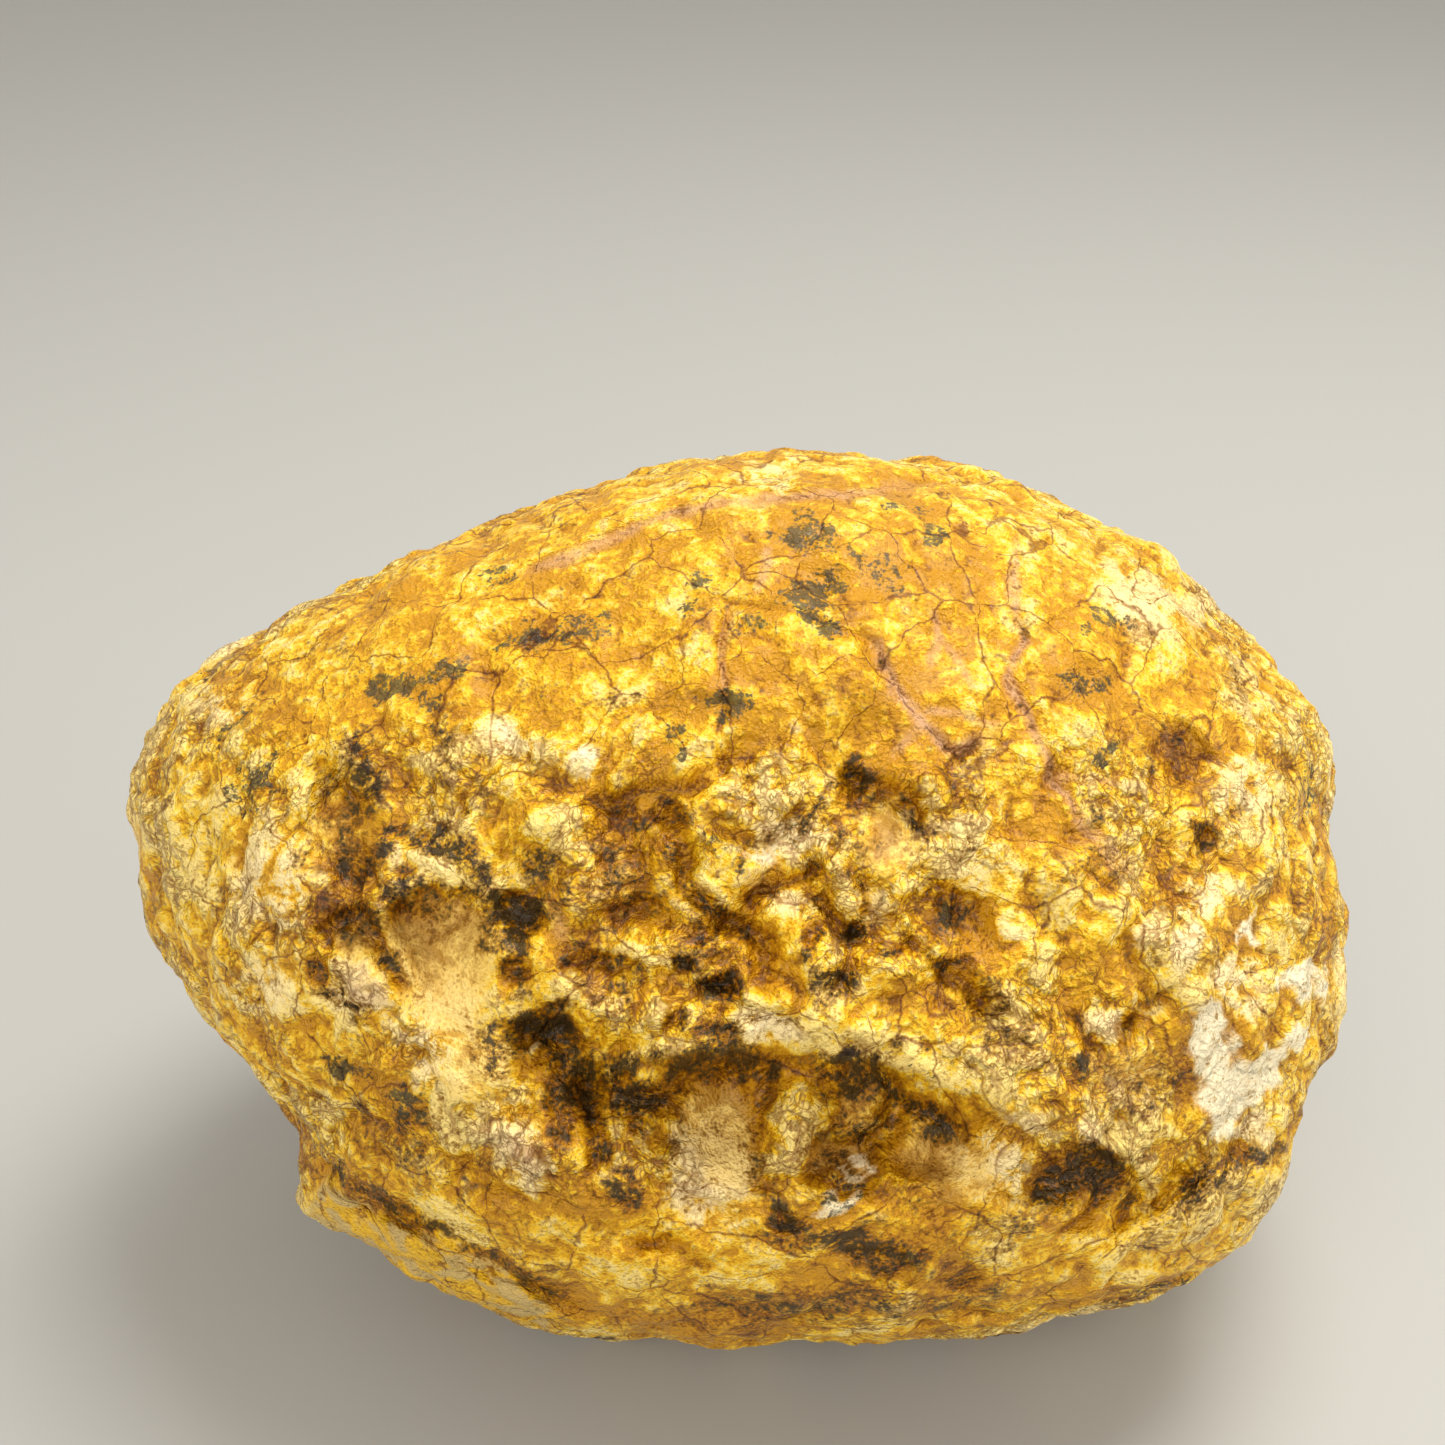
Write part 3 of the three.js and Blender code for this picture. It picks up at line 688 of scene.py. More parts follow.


# ------------------------------------------------------------------ stain marks and painted shade of the rind

# Stain marks have strengths instead of depths. A strength above 1 is cut off at 1, which makes
# the middle of a stain even. The brown marks are partly brown stains and partly painted
# shade: in the pits and under their upper rims, in the shadows of cliffs and ridges, and
# towards the foot.


DARK_STAINS = (
    Patch("crown stain", (9.2, 46.2), (5, 2.4, 2.6), 1.1, 0.8, -6),
    Patch("crown stain, tail", (14, 44), (5, 1.8, 2.2), 0.7, 1.0, -24),
    Patch("crown stain, dot", (3, 46), (1.5, 1, 1), 0.8, 0.8),
    Patch("crown stain, lower", (7.6, 38.8), (4.4, 2.4, 2.4), 1.2, 0.7, 4),
    Patch("crown stain, lower right", (10.6, 40.2), (2.8, 1.8, 1.8), 0.9, 0.9, -10),
    Patch("crown stain, foot", (9.4, 35.4), (4.4, 1.8, 2), 1.0, 0.8, -8),
    Patch("crown stain, right", (18.4, 41), (4.4, 2.2, 2.4), 0.55, 1.0, -24),
    Patch("crown stain, far right", (24.4, 45.4), (1.7, 2.2, 1.8), 0.7, 0.9),
    Patch("crown stain, top", (21.6, 49), (3, 1.2, 1.2), 0.6),
    Patch("crown stain, left", (-4.8, 41.2), (2.4, 1.2, 1.3), 0.85, 0.9, 8),
    Patch("crown stain, lower left", (-6.2, 37.2), (1.8, 1.3, 1.3), 0.7, 0.9),
    Patch("spots under the crown", (2, 35), (3, 2, 2), 0.5),
    Patch("north west stain", (-20, 34.6), (5, 1.8, 2.2), 0.8, 0.9, 8),
    Patch("north west stain, left", (-27, 33), (3.6, 1.6, 1.8), 0.65, 0.9, 20),
    Patch("shoulder stain", (-30.5, 40.6), (3.8, 1.4, 1.4), 0.8, 0.9, 16),
    Patch("west dip stain", (-37, 29.4), (4, 1.4, 1.6), 1.0, 0.8, 24),
    Patch("west dip stain, lower", (-43.4, 26.8), (4, 2.2, 2.4), 1.05, 0.7, 14),
    Patch("west dip stain, foot", (-39.6, 24.6), (2.2, 1.8, 2.6), 0.8, 0.9),
    Patch("north dip stain", (-1.8, 25.8), (3.6, 2.6, 2.8), 1.2, 0.8),
    Patch("north dip stain, left", (-8, 21.6), (2.2, 2.4, 2.6), 1.0, 0.8, -20),
    Patch("streak under the north dip", (-7.6, 18), (1, 2.4, 2.4), 0.6, 0.9),
    Patch("east dip stain", (43, 27.4), (4, 1.8, 2), 0.9, 0.9, -24),
    Patch("east dip stain, upper", (45.6, 35), (3.4, 1.8, 2), 0.9, 0.9),
    Patch("east dip stain, lower", (46, 19.2), (2.2, 1.8, 1.8), 0.7, 0.9),
    Patch("nose streak", (-61.4, 14.6), (2.4, 6, 6), 0.7, 1.1, -24),
    Patch("nose streak, upper", (-64, 21), (5, 1.4, 1.4), 0.6, 1.1, 30),
    Patch("knob stain", (70, 14.6), (1.6, 4, 4), 0.5, 1.2),
    Patch("grey among the crystals", (13.2, -36.1), (3.2, 0.6, 0.6), 0.9, 0.6, -6),
    Patch("grey on the lower crystals", (13, -37.8), (3, 1.2, 1.2), 0.6, 0.8),
    Patch("bluish spot", (-41.8, -24), (2.8, 1.1, 1.5), 1.0, 0.7, -24),
    Patch("west stain", (-49.6, -20.4), (5, 0.9, 1.3), 0.9, 0.8, -22),
    Patch("seam stain", (0.4, 4.6), (2.2, 1, 1.4), 0.8, 0.9, -50),
    Patch("seam stain, upper", (-3.4, 8.2), (2.6, 0.9, 1.2), 0.6, 0.9, -52),
)

BROWN_STAINS_AND_SHADE = (
    Line(
        "basin, right wall", 1.4, 0.62,
        ((-9.4, 14), (-8, 10), (-8.6, 5.4), (-6.8, 2.2), (-2, -1.8), (2, -5), (3, -9)),
    ),
    Patch("basin field", (-15, 3.6), (9, 10, 11), 0.5, 1.0, -16),
    Patch("basin, dark band", (-13.2, 10.6), (3.6, 1.4, 2.6), 0.7, 0.9, -10),
    Patch("basin foot", (-5, -3.6), (6, 4, 6), 0.55, 1.1),
    Patch("foot spot", (-5.2, -3.8), (1.8, 1.4, 1.8), 0.85, 0.8),
    Patch("brown trough stain", (-25.6, 5.6), (3.4, 3.4, 4.6), 0.85, 0.8, -14),
    Patch("brown trough, soft", (-24, 1), (6, 8, 8), 0.45, 1.2, -20),
    # painted shadow under the upper rim of the great scoop, and painted shade in it, in the hole
    # beside it and in the side scoop
    Line(
        "band over the scoop", 1.7, 0.95,
        ((-50, 1), (-43.4, 8.6), (-37.6, 7.4), (-34, 5.8), (-29.4, 2.6)),
    ),
    Patch("scoop hole stain", (-28.6, -1.8), (4.2, 3.6, 7.4), 1.05, 0.6, 10),
    Patch("scoop hole stain, lower", (-28.4, -4.4), (3.2, 3, 4.4), 1.0, 0.8, 10),
    Patch("foot of that hole, stain", (-29, -8.8), (2.6, 2.4, 3.4), 0.85, 0.9),
    Line(
        "upper edge of the scoop", 0.9, 0.72,
        ((-46, -0.4), (-43.2, 2.2), (-38.6, 2.2), (-34.4, 1.6), (-31.6, -0.8)),
    ),
    Line("rim shadow stain", 1.4, 0.7, ((-46.8, 1), (-46.4, -3), (-44.8, -6.4), (-42.4, -9))),
    Patch("shade in the scoop", (-38, 0.4), (7.6, 2.4, 6.6), 0.62, 0.8, -8),
    Patch("shade in the scoop, right", (-32.4, -3.6), (3.8, 4.4, 5), 0.62, 0.9, 10),
    Patch("shade at the corner of the scoop", (-32.6, 2), (3.6, 3.4, 3.4), 0.7, 0.9),
    Patch("side scoop stain", (-49, -1.2), (6, 2.4, 6), 0.7, 0.7, -10),
    Line("west line stain", 0.9, 0.8, WEST_LINE),
    # painted shade in the eye pit and the hole over it, and the painted shadow of the cliff beside
    # them
    Patch("eye stain", (-25, -16), (6, 2, 5.4), 1.05, 0.5, -10),
    Patch("hole over the eye, stain", (-23.3, -13.2), (1.6, 1.2, 1.6), 0.9, 0.6),
    Patch("below the eye", (-20.6, -20.4), (4.6, 4, 9), 0.75, 0.8, -16),
    Line("cliff stain", 1.3, 0.75, ((-18.8, -17.6), (-18.4, -22.4), (-17.6, -27.4), (-17.4, -34))),
    Patch("olive slope by the cliff", (-21, -24.4), (5.6, 8, 10), 0.8, 0.9, -12),
    Patch("brown by the cliff", (-15.4, -20), (4, 3.4, 6), 0.75, 1.0, -30),
    # painted shade under the arch of the arched hollow and in the small pits below it
    Line(
        "arch stain", 1.1, 0.6,
        ((-22.4, -8.4), (-20, -6), (-17, -5.6), (-13.4, -7.6), (-11.6, -11.4)),
    ),
    Patch("shade in the arch", (-16, -8), (5, 2, 4), 0.36, 0.7, -14),
    Patch("speck stain", (-7, -6.9), (1.9, 1.2, 1.9), 1.1, 0.7),
    Patch("middle stain", (-3, -9.6), (3.6, 1.6, 4.4), 1.1, 0.6),
    Patch("lower middle stain", (-2.6, -14.4), (3.8, 1.2, 2.4), 1.15, 0.6),
    Patch("third stain", (-8.2, -14), (1.7, 1.1, 1.6), 0.9, 0.7),
    # painted shadow under the upper rims of the two shells, and painted shade in their holes,
    # beside the ridge between them and in the crystal, ear and corner pits
    Line(
        "left shell rim", 1.5, 0.95,
        ((-8.8, -22.8), (-7, -20), (-4, -18), (-1, -17.4), (1.2, -18.2), (2.8, -20.6), (3.2, -24)),
    ),
    Patch("shade under the arch", (-0.4, -19.6), (3.2, 2.2, 4), 1.25, 0.6, -24),
    Patch("shade in the left shell", (-4, -20), (4.6, 1.4, 3.8), 0.66, 0.6, 8),
    Patch("left shell hole stain", (-12.2, -23.6), (4.4, 2.4, 5), 1.15, 0.6),
    Patch("purple under the hole", (-12, -27.4), (3, 2, 2.6), 0.55),
    Patch("left shell flank", (-13.4, -35.4), (3, 3.4, 4), 0.85, 0.9, -6),
    Line(
        "dark side of the shell ridge, stain", 1.0, 0.5,
        ((3, -20.6), (3, -24), (2.2, -28), (2.6, -33), (4.4, -37.6)),
    ),
    Patch("valley stain", (6.4, -39), (3.6, 2.8, 4.4), 0.95, 0.8),
    Line(
        "right shell rim", 1.2, 0.85,
        (
            (8.6, -21.8), (10, -19.9), (12.9, -19.4), (15.7, -20.3), (18.4, -22.4),
            (22, -25), (28.6, -28.6),
        ),
    ),
    Patch("shade in the right shell", (14, -21.8), (5.6, 2.2, 5), 1.15, 0.6, -18),
    Patch("shade over the crystals", (15, -27.4), (4.4, 3, 4), 0.8, 0.8, -10),
    Patch("right shell wall", (21, -25), (4.4, 3, 8), 0.5, 0.7, -30),
    Patch("crystal pit stain", (12.6, -31.6), (4.8, 3.6, 7.4), 0.58, 0.6),
    Patch("shade in the ear shell", (25.4, -27.2), (5.4, 1.8, 4.4), 0.75, 0.6, -32),
    Patch("corner pit, left side", (39.8, -33.8), (6.6, 2, 6), 1.1, 0.55, 44),
    Patch("corner pit, right side", (45.8, -33), (5.6, 1.8, 6.4), 1.05, 0.55, -44),
    # painted shade in the low slot and the low spot
    Patch("low slot stain", (15.2, -43), (9, 1.8, 4), 1.1, 0.5, -12),
    Patch("low spot stain", (27, -46.4), (4, 1.4, 2.2), 0.75, 0.8, -10),
    # painted shadow under the saucer's lip
    Patch("saucer lip stain", (14.2, 16.8), (3.2, 1.2, 2.4), 1.2, 0.5, 6),
    Patch("shade in the saucer", (15.6, 14.4), (5.4, 2, 3.4), 0.55, 0.8, -20),
    Line("saucer edge, right", 1.2, 0.6, ((17, 15.6), (20.6, 13.8), (23, 11), (24, 7.6))),
    Line("crack by the saucer", 0.7, 0.8, ((5.6, 9), (8.4, 10.2), (11.4, 12.6))),
    Line("seam under the saucer", 0.7, 0.6, ((8, 4.6), (12, 3.8), (16, 3), (17.6, 4.2))),
    Line("saucer edge, left", 1.0, 0.6, ((12, 16), (10.8, 12.4), (12.4, 8.4))),
    # painted shade in the nick and under the boss
    Patch("nick stain", (10, -4.4), (1.5, 2.6, 2), 1.0, 0.7, -14),
    Patch("stain under the boss", (14, -2.4), (3.4, 1.2, 4.6), 0.85, 0.7),
    Patch("brown below the nick", (12.4, -8.6), (3.2, 2, 4.6), 0.95, 0.8),
    Patch("brown over the brow, right", (35, -16), (6, 4, 5), 0.42, 1.3, -30),
    Patch("east basin stain", (26.8, -1), (5, 2.4, 5), 0.72, 0.8, -34),
    Patch("east gully stain", (31.4, -10), (6, 1.8, 4.6), 0.5, 0.8, -40),
    Patch("crack spot", (19.6, -5.4), (1.4, 1.8, 2.2), 0.85, 0.8),
    Patch("crack spot, right", (27, -7.6), (2, 1.2, 2), 0.85, 0.8),
    Patch("olive by the saucer", (27, 17), (3.6, 3, 4), 0.42, 1.0, -30),
    Patch("nook stain", (19.6, -19), (2.6, 1.2, 2.2), 0.6, 0.8),
    Line("west hollow, right edge", 2.6, 0.7, ((-46.2, 20), (-46.8, 14), (-49.4, 8), (-50.4, 2))),
    Patch("west hollow stain", (-50.4, 12), (5.6, 8, 9), 0.45, 1.3, 14),
    Patch("west hollow, top", (-48, 20), (4.4, 3, 4.4), 0.7, 1.0, -20),
    # painted shade in the east hollow and the east spot
    Patch("east hollow stain", (54, 21.6), (3, 3.4, 5.4), 0.44, 1.0, 20),
    Patch("east hollow, soft", (54, 20), (5.4, 8, 8), 0.2, 1.4, 24),
    Patch("east spot stain", (57.4, 8.8), (3.6, 2.4, 3.8), 0.85, 0.8, -20),
    Patch("orange by the saucer", (28, 16), (5, 5, 5), 0.36, 1.4),
    Patch("orange over the trough", (-35, 16.6), (5.4, 5, 6), 0.36, 1.3),
    Patch("brown over the saucer", (14, 26), (6, 4, 4), 0.3, 1.4),
    Patch("orange patches", (44, 5), (6, 6, 5), 0.35, 1.3),
    Patch("granular cheek", (51, -24), (8, 7, 7), 0.42, 1.1),
    Patch("cheek spot", (42.6, -20), (3.2, 1.8, 3.4), 0.9, 0.8),
    Patch("cheek spot, right", (56.4, -22), (2.8, 2, 3.4), 0.8, 0.9),
    Patch("dark spot in the trough", (-40.6, -26.4), (4.4, 2, 3.4), 0.8, 0.9, -20),
    Patch("trough stain", (-42, -30), (11, 4, 5), 0.6, 1.1, -36),
    Line(
        "rim crease stain", 1.4, 0.66,
        ((-54, -31), (-46, -36), (-38, -41), (-27, -46), (-17, -51)),
    ),
    # painted shade towards the foot, where the stone turns under
    Patch("foot of the front", (12, -50), (34, 3, 4), 0.7, 1.2, 3),
    Patch("shade under the cheek", (57, -35), (12, 4.6, 7), 0.42, 1.2, 20),
    Patch("caramel below the ear", (35, -40), (7, 4.4, 4), 0.56, 1.2, 10),
    Patch("shade over the foot", (20, -42), (20, 4, 4), 0.36, 1.3, -6),
    Line("ledge stain", 1.2, 0.7, ((69, -30.6), (61, -32.4), (56, -34.8), (50, -39))),
    Patch("shade left of the eye", (-31, -19), (4, 4.6, 4.6), 0.8),
    Patch("shade over the eye", (-28, -11.4), (3, 3.4, 4), 0.5, 1.1),
    Patch("shade below the arched hollow", (-15.6, -11.4), (6.4, 2.6, 3), 0.5, 1.1),
    Patch("brown over the brow", (11, -11.6), (4.4, 2.6, 2.6), 0.66, 1.0, -10),
    Patch("brown of the west field", (-37, 21.6), (4.4, 6, 6), 0.42, 1.2, 20),
    Patch("brown of the north field", (-14, 25.6), (8, 2.6, 2.6), 0.38, 1.2),
    Patch("brown of the crown", (-3, 36), (6, 5.4, 5.4), 0.34, 1.3),
    Patch("brown under the crown stain", (12, 37), (6, 4, 4), 0.34, 1.3),
    Patch("brown floor of the saucer", (15.6, 8), (5, 3, 3), 0.42, 1.1),
    Patch("brown over the cheek", (36.4, -19), (4, 4.4, 5), 0.45, 1.2),
    Patch("brown spot of the east", (41, 3.4), (3.4, 3, 3), 0.5, 1.1),
    Patch("brown spot of the east, upper", (44.6, 12), (3, 2.8, 2.8), 0.45, 1.1),
    Patch("brown by the east dip", (48, 34), (4.4, 2.8, 2.8), 0.42, 1.2),
    Patch("brown of the far east", (62.6, 26.4), (3.6, 4, 4), 0.36, 1.2),
    Patch("shade right of the crystals", (20.6, -38), (5.4, 2.4, 2.4), 0.42, 1.1),
    Patch("shade below the valley", (6.4, -43), (6, 2.4, 2.6), 0.68, 1.1),
    Patch("shade along the foot", (18, -51), (14, 3, 3), 0.4, 1.2),
    Patch("shade low in the west", (-34, -34), (6, 5, 6), 0.4, 1.2, -40),
    Patch("shade low in the west, right", (-27, -42), (8, 3.4, 3.4), 0.34, 1.2, -30),
    Patch("brown over the middle of the brow", (12.8, -14), (4, 2, 2), 0.42, 1.0, -12),
    Patch("brown left of the brow", (-11, -19.2), (2.6, 2.2, 2.2), 0.7, 0.9),
    Patch("brown beside the nick", (9.2, -5.4), (2.8, 2.8, 2.8), 0.7),
    Patch("brown by the white seam", (57.4, -13.6), (1.8, 2.6, 2.6), 0.55),
    Patch("brown over the cheek spots", (49.6, -19), (2.8, 2.4, 2.4), 0.4),
    Patch("shade low in the east", (51, -42), (6, 3.6, 3.6), 0.42, 1.2, 24),
    Patch("brown of the nose", (-54.6, 6), (2.8, 3.4, 3.4), 0.5),
    Patch("brown of the far shoulder", (-50.4, 32), (3.6, 4.4, 4.4), 0.32, 1.2),
    Patch("brown by the north west", (-25.4, 25), (3.4, 2.4, 2.4), 0.3, 1.2),
)

CREAM_PATCHES_AND_SHEEN = (
    Patch("cream by the west dip", (-29.4, 20.4), (4.2, 3.2, 3.6), 0.85, 1.0, -20),
    Patch("cream over the basin crease", (5.4, 8.6), (6, 3.4, 3.4), 1.2, 1.0, 10),
    Patch("cream of the crown edge", (3, 54), (7, 3, 2.6), 0.7, 1.2),
    # painted highlight: the sheen on the upper right shoulder
    Patch("sheen shoulder", (50, 38), (9, 4.6, 6), 0.75, 1.4, -38),
    Patch("cream brow", (3.4, -15.2), (4.8, 2.6, 2.8), 1.3, 0.8, -12),
    Patch("cream floor of the scoop", (-37, -14), (5.4, 8, 9), 1.0, 1.0, 12),
    Patch("cream foot of the scoop", (-38, -19.6), (5, 4.4, 5), 1.0, 1.0, 10),
    Patch("cream below the west nose", (-48, -12), (7, 3.8, 3.8), 1.0, 1.0, -46),
    Patch("cream mound", (-29, -29), (5, 5, 6), 0.75, 1.0, -40),
    Patch("cream shell floor", (-2.2, -32), (6.4, 9, 11), 1.25, 1.0, 14),
    Patch("cream north of the basin", (-19.8, 17.2), (4, 2.4, 2.4), 0.9, 1.0, 10),
    Patch("cream of the middle", (6, 0.4), (4, 3, 3), 0.7, 1.0, -10),
    Patch("cream beside the boss", (17, 0.4), (4, 3, 3), 0.7),
    Patch("cream left of the gouge", (51, -12), (2.8, 2.4, 2.4), 0.7),
    Patch("cream by the gully", (33.4, -3.6), (2.6, 2.2, 2.2), 0.75, 0.7),
    Patch("cream by the ear", (30.4, -33), (7, 6, 5.4), 1.15, 1.0, -10),
    Patch("cream of the west nose", (-58, 2), (7, 11, 8), 1.1, 1.0, 10),
    Patch("cream of the west flank", (-59, -10), (6, 6, 6), 0.8, 1.2, 10),
    Patch("cream under the knob", (63, 14.6), (4.6, 6, 7), 1.0, 1.3, 10),
    Patch("cream of the north east", (57, 37), (4, 4, 5), 0.6, 1.2),
    Patch("cream lump a", (56, -4.8), (3, 2.8, 2.8), 1.2, 0.8),
    Patch("cream lump b", (58.6, 0.4), (4.4, 3.2, 3.2), 1.2, 0.8),
    Patch("cream lump c", (62, -9), (4.2, 3.2, 4.4), 1.4, 0.8),
    Patch("cream inside the white seam", (63.8, -13.4), (3.4, 2.8, 3), 1.0, 0.9),
    Patch("cream under the white seam", (63.4, -28.4), (3, 2.6, 2.6), 1.2, 0.9),
    Patch("cream lump d", (51, -4), (2.6, 2.4, 2.4), 0.7, 0.9),
    Patch("cream lump e", (46, -15), (3.6, 2.6, 2.6), 1.0, 0.9),
    Patch("cream crystals", (44, -29), (2.2, 2.6, 2.6), 0.8, 1.0, 20),
    Patch("cream of the east field", (30, 5), (7, 5, 5), 0.5, 1.4),
    Patch("cream beside the saucer", (27, 10.6), (8, 4, 4), 0.45, 1.3),
    Patch("cream over the crease", (2, 12.6), (6, 3, 3), 0.5, 1.3),
    Patch("cream over the scoop", (-38.4, 4.6), (4.4, 1.9, 1.9), 0.4, 1.0, -8),
    Patch("cream west of the scoop", (-43, 5), (2, 4, 3), 0.5, 1.1, 10),
    Patch("cream of the east slope", (64, 26), (5, 7, 8), 0.3, 1.4, 20),
    Patch("cream right of the saucer", (20.8, 12.4), (3.4, 2.6, 2.6), 0.7, 1.1),
    Patch("cream left of the great scoop", (-41, -17.4), (4, 3.4, 3.4), 0.9),
    Patch("cream under the mound", (-26.4, -33.6), (3.6, 2.8, 2.8), 0.9),
    Patch("cream foot of the left shell", (-4.6, -37), (4.6, 3.4, 3.4), 1.1),
    Patch("cream below the brow, right", (35, -27.6), (3.8, 3, 3), 0.8, 1.1),
    Patch("cream under the crown", (7, 24), (3.2, 4, 4), 0.6, 1.2),
    Patch("cream of the north west", (-22, 38.4), (5, 2.6, 2.6), 0.6, 1.2, 12),
    Patch("cream of the cheek", (50, -22), (5, 4, 4), 0.35, 1.1),
    Patch("cream of the far west", (-65, 25), (5, 4, 5), 0.7, 1.3, 30),
)

TAN_FLOORS = (
    Patch("floor of the great scoop", (-37.6, -6.4), (7.6, 7.4, 18), 1.0, 0.6, 13),
    Patch("floor below the scoop", (-34, -20), (7, 6, 8), 0.6, 1.2, 20),
    Patch("floor of the side scoop", (-48.6, -5), (4, 4, 8), 0.6, 1.0, 22),
    Patch("floor of the left shell", (-1.8, -28.6), (5.8, 8.4, 13), 0.8, 1.0, 16),
    Patch("floor of the right shell", (15, -24), (4.4, 5, 6), 0.4, 1.0, -8),
    Patch("floor of the crystal pit", (12.6, -32), (4.6, 4, 4), 0.8),
    Patch("floor of the ear shell", (26, -32), (8, 5, 7), 0.7, 1.0, -26),
    Patch("floor of the saucer", (18, 8), (6, 5, 5), 0.6, 1.0, -22),
    Patch("floor of the west hollow", (-50, 9), (5, 7, 8), 0.4, 1.0, 14),
    Patch("slope below the brow", (34, -25), (9, 4.4, 6), 0.26, 1.2, -30),
)

PALE_VEINS = (
    Line(
        "white seam", 1.9, 1.0,
        ((57.6, -10.4), (59.2, -15.4), (59.6, -20), (60.6, -25), (62, -31)),
    ),
    Patch("white seam, foot", (61.4, -23), (4.2, 3.8, 5), 1.0, 0.6, -20),
    Line("white seam, branch", 1.3, 1.1, ((62.6, -24), (65.8, -20.8), (69.6, -17.2))),
    Patch("white boulder", (70.4, -9.8), (4.8, 2.4, 2.8), 1.0, 0.7, -6),
    Patch("white boulder, lower", (69.8, -17), (2.6, 2, 2), 1.0, 0.7, -20),
    Line("white streak", 0.8, 0.8, ((64, -0.6), (64.6, -6.4))),
    Patch("white of the brow", (2.4, -14.6), (2.6, 1, 1.2), 0.45, 0.9, -20),
    Patch("white by the basin", (-19.8, 17.4), (3.4, 1.8, 1.8), 0.6, 1.0, 10),
    Patch("white by the crease", (2, 6), (5, 2, 2), 0.6, 1.2, -12),
    Patch("lower crystals, pale", (13, -37.7), (3.3, 1.2, 1.4), 0.75, 0.4, 4),
    Patch("upper crystals, pale", (13.2, -34.5), (2.4, 1.1, 1.1), 0.85, 0.4, -16),
    Patch("side crystals, pale", (15.4, -32.4), (1.5, 1.5, 1.4), 0.75, 0.5),
    Patch("lump in the eye, pale", (-26.2, -19), (1.9, 1.1, 1.2), 0.6, 0.8, -12),
    Patch("pale by the west dip", (-29.4, 21), (3, 2.4, 2.8), 0.5, 1.2, -20),
)

PINK_VEINS = (
    Line("top vein", 0.6, 0.8, TOP_SEAM),
    Line(
        "crown vein", 0.8, 1.0,
        (
            (16.6, 33.4), (19.3, 27.2), (22.2, 23.7), (23.2, 22.3), (25.6, 19.6),
            (30, 20.8), (31.6, 22.4),
        ),
    ),
    Line("crown vein, side", 0.5, 0.8, ((22.6, 24.4), (27, 23.6), (33, 22.2))),
    Line("crown vein, left", 0.5, 0.7, ((23, 22.6), (20.6, 20), (19.4, 18.6))),
    Line("upper vein", 0.5, 0.7, ((24, 37.4), (25.6, 33), (24.2, 30), (23.6, 28.6))),
    Line("upper vein, right", 0.5, 0.7, ((25.8, 32.6), (27.4, 29.6), (29.4, 26.6))),
    Line("small vein", 0.5, 0.8, ((3.8, 44.6), (3, 42), (1.5, 39))),
    Line("north vein", 0.4, 0.6, ((-0.8, 37.9), (-1.7, 31.6), (-2.2, 24.7))),
    Line("east vein", 0.6, 0.9, (*EAST_SEAM, (46, 5), (50, 0))),
    Line("east vein, side", 0.55, 0.8, ((37.5, 20.6), (41, 13), (45.5, 8), (49.5, 1.6))),
    Line("east vein, level", 0.55, 0.7, ((40, 16.6), (46, 16), (52.5, 14.6))),
    Patch("pink boss", (-27, -31), (4, 3, 3.4), 0.8, 1.2),
    Patch("pinkish lump", (-47.4, -10.4), (5, 2.8, 2.8), 0.6, 1.0, -46),
    Patch("pink streak", (-22.8, -2), (1.2, 4, 4), 0.6, 0.9, 24),
    Patch("pink field of the basin", (-16, 3.4), (4, 5, 5), 0.35, 1.1),
    Patch("pink of the arch", (-18.6, -10.4), (1.6, 2.4, 3), 0.5, 0.9, 20),
    Patch("pink by the seam", (2, 2.6), (3.4, 1.4, 1.4), 0.45, 1.0, -40),
    Patch("pink cheek", (48, -22), (6, 5, 5), 0.35, 1.3),
)


# ------------------------------------------------------------------ skin and masks


BED = "bed"  # attribute that keeps where each point lay before its pits were sunk


class Mask(Enum):
    """Named strengths kept on the skin, read by the rind finish."""

    # crevice and hollow depths, from which the finish paints shade and highlight
    CREVICE = "crevice"
    HOLLOW = "hollow"
    # brown stains and painted shade
    BROWN = "brown"
    DARK = "dark"
    # cream patches and a painted highlight
    CREAM = "cream"
    TAN = "tan"
    PALE = "pale"
    PINK = "pink"
    BAND = "band"
    MOTTLE = "mottle"
    BLOTCH = "blotch"
    ZONE = "zone"
    WORN = "worn"


@dataclass
class Skin:
    """Points of the stone's skin, the quads between them and what each is like.

    Attributes:
        points: positions, in mm.
        quads: four point numbers per face, seen anticlockwise from outside.
        bed: where each point lay before its pits were sunk, in mm; the finish is laid
            out on it, so that its pattern is not drawn out on the walls of the pits.
        masks: strengths from 0 to 1 at each point.
    """

    points: np.ndarray
    quads: np.ndarray
    bed: np.ndarray
    masks: dict[Mask, np.ndarray]


def smoothed(points: np.ndarray, quads: np.ndarray, rounds: int) -> np.ndarray:
    """Every point moved to the mean of its neighbours, several times over.

    Args:
        points: positions, one row each.
        quads: four point numbers per face of a closed skin.
        rounds: how many times.

    Returns:
        The smoothed positions.
    """
    start = quads.ravel()
    end = np.roll(quads, -1, axis=1).ravel()
    count = np.bincount(start)
    for _ in range(rounds):
        sums = [np.bincount(start, points[end, axis]) for axis in range(3)]
        points = np.stack(sums, axis=1) / count[:, None]
    return points


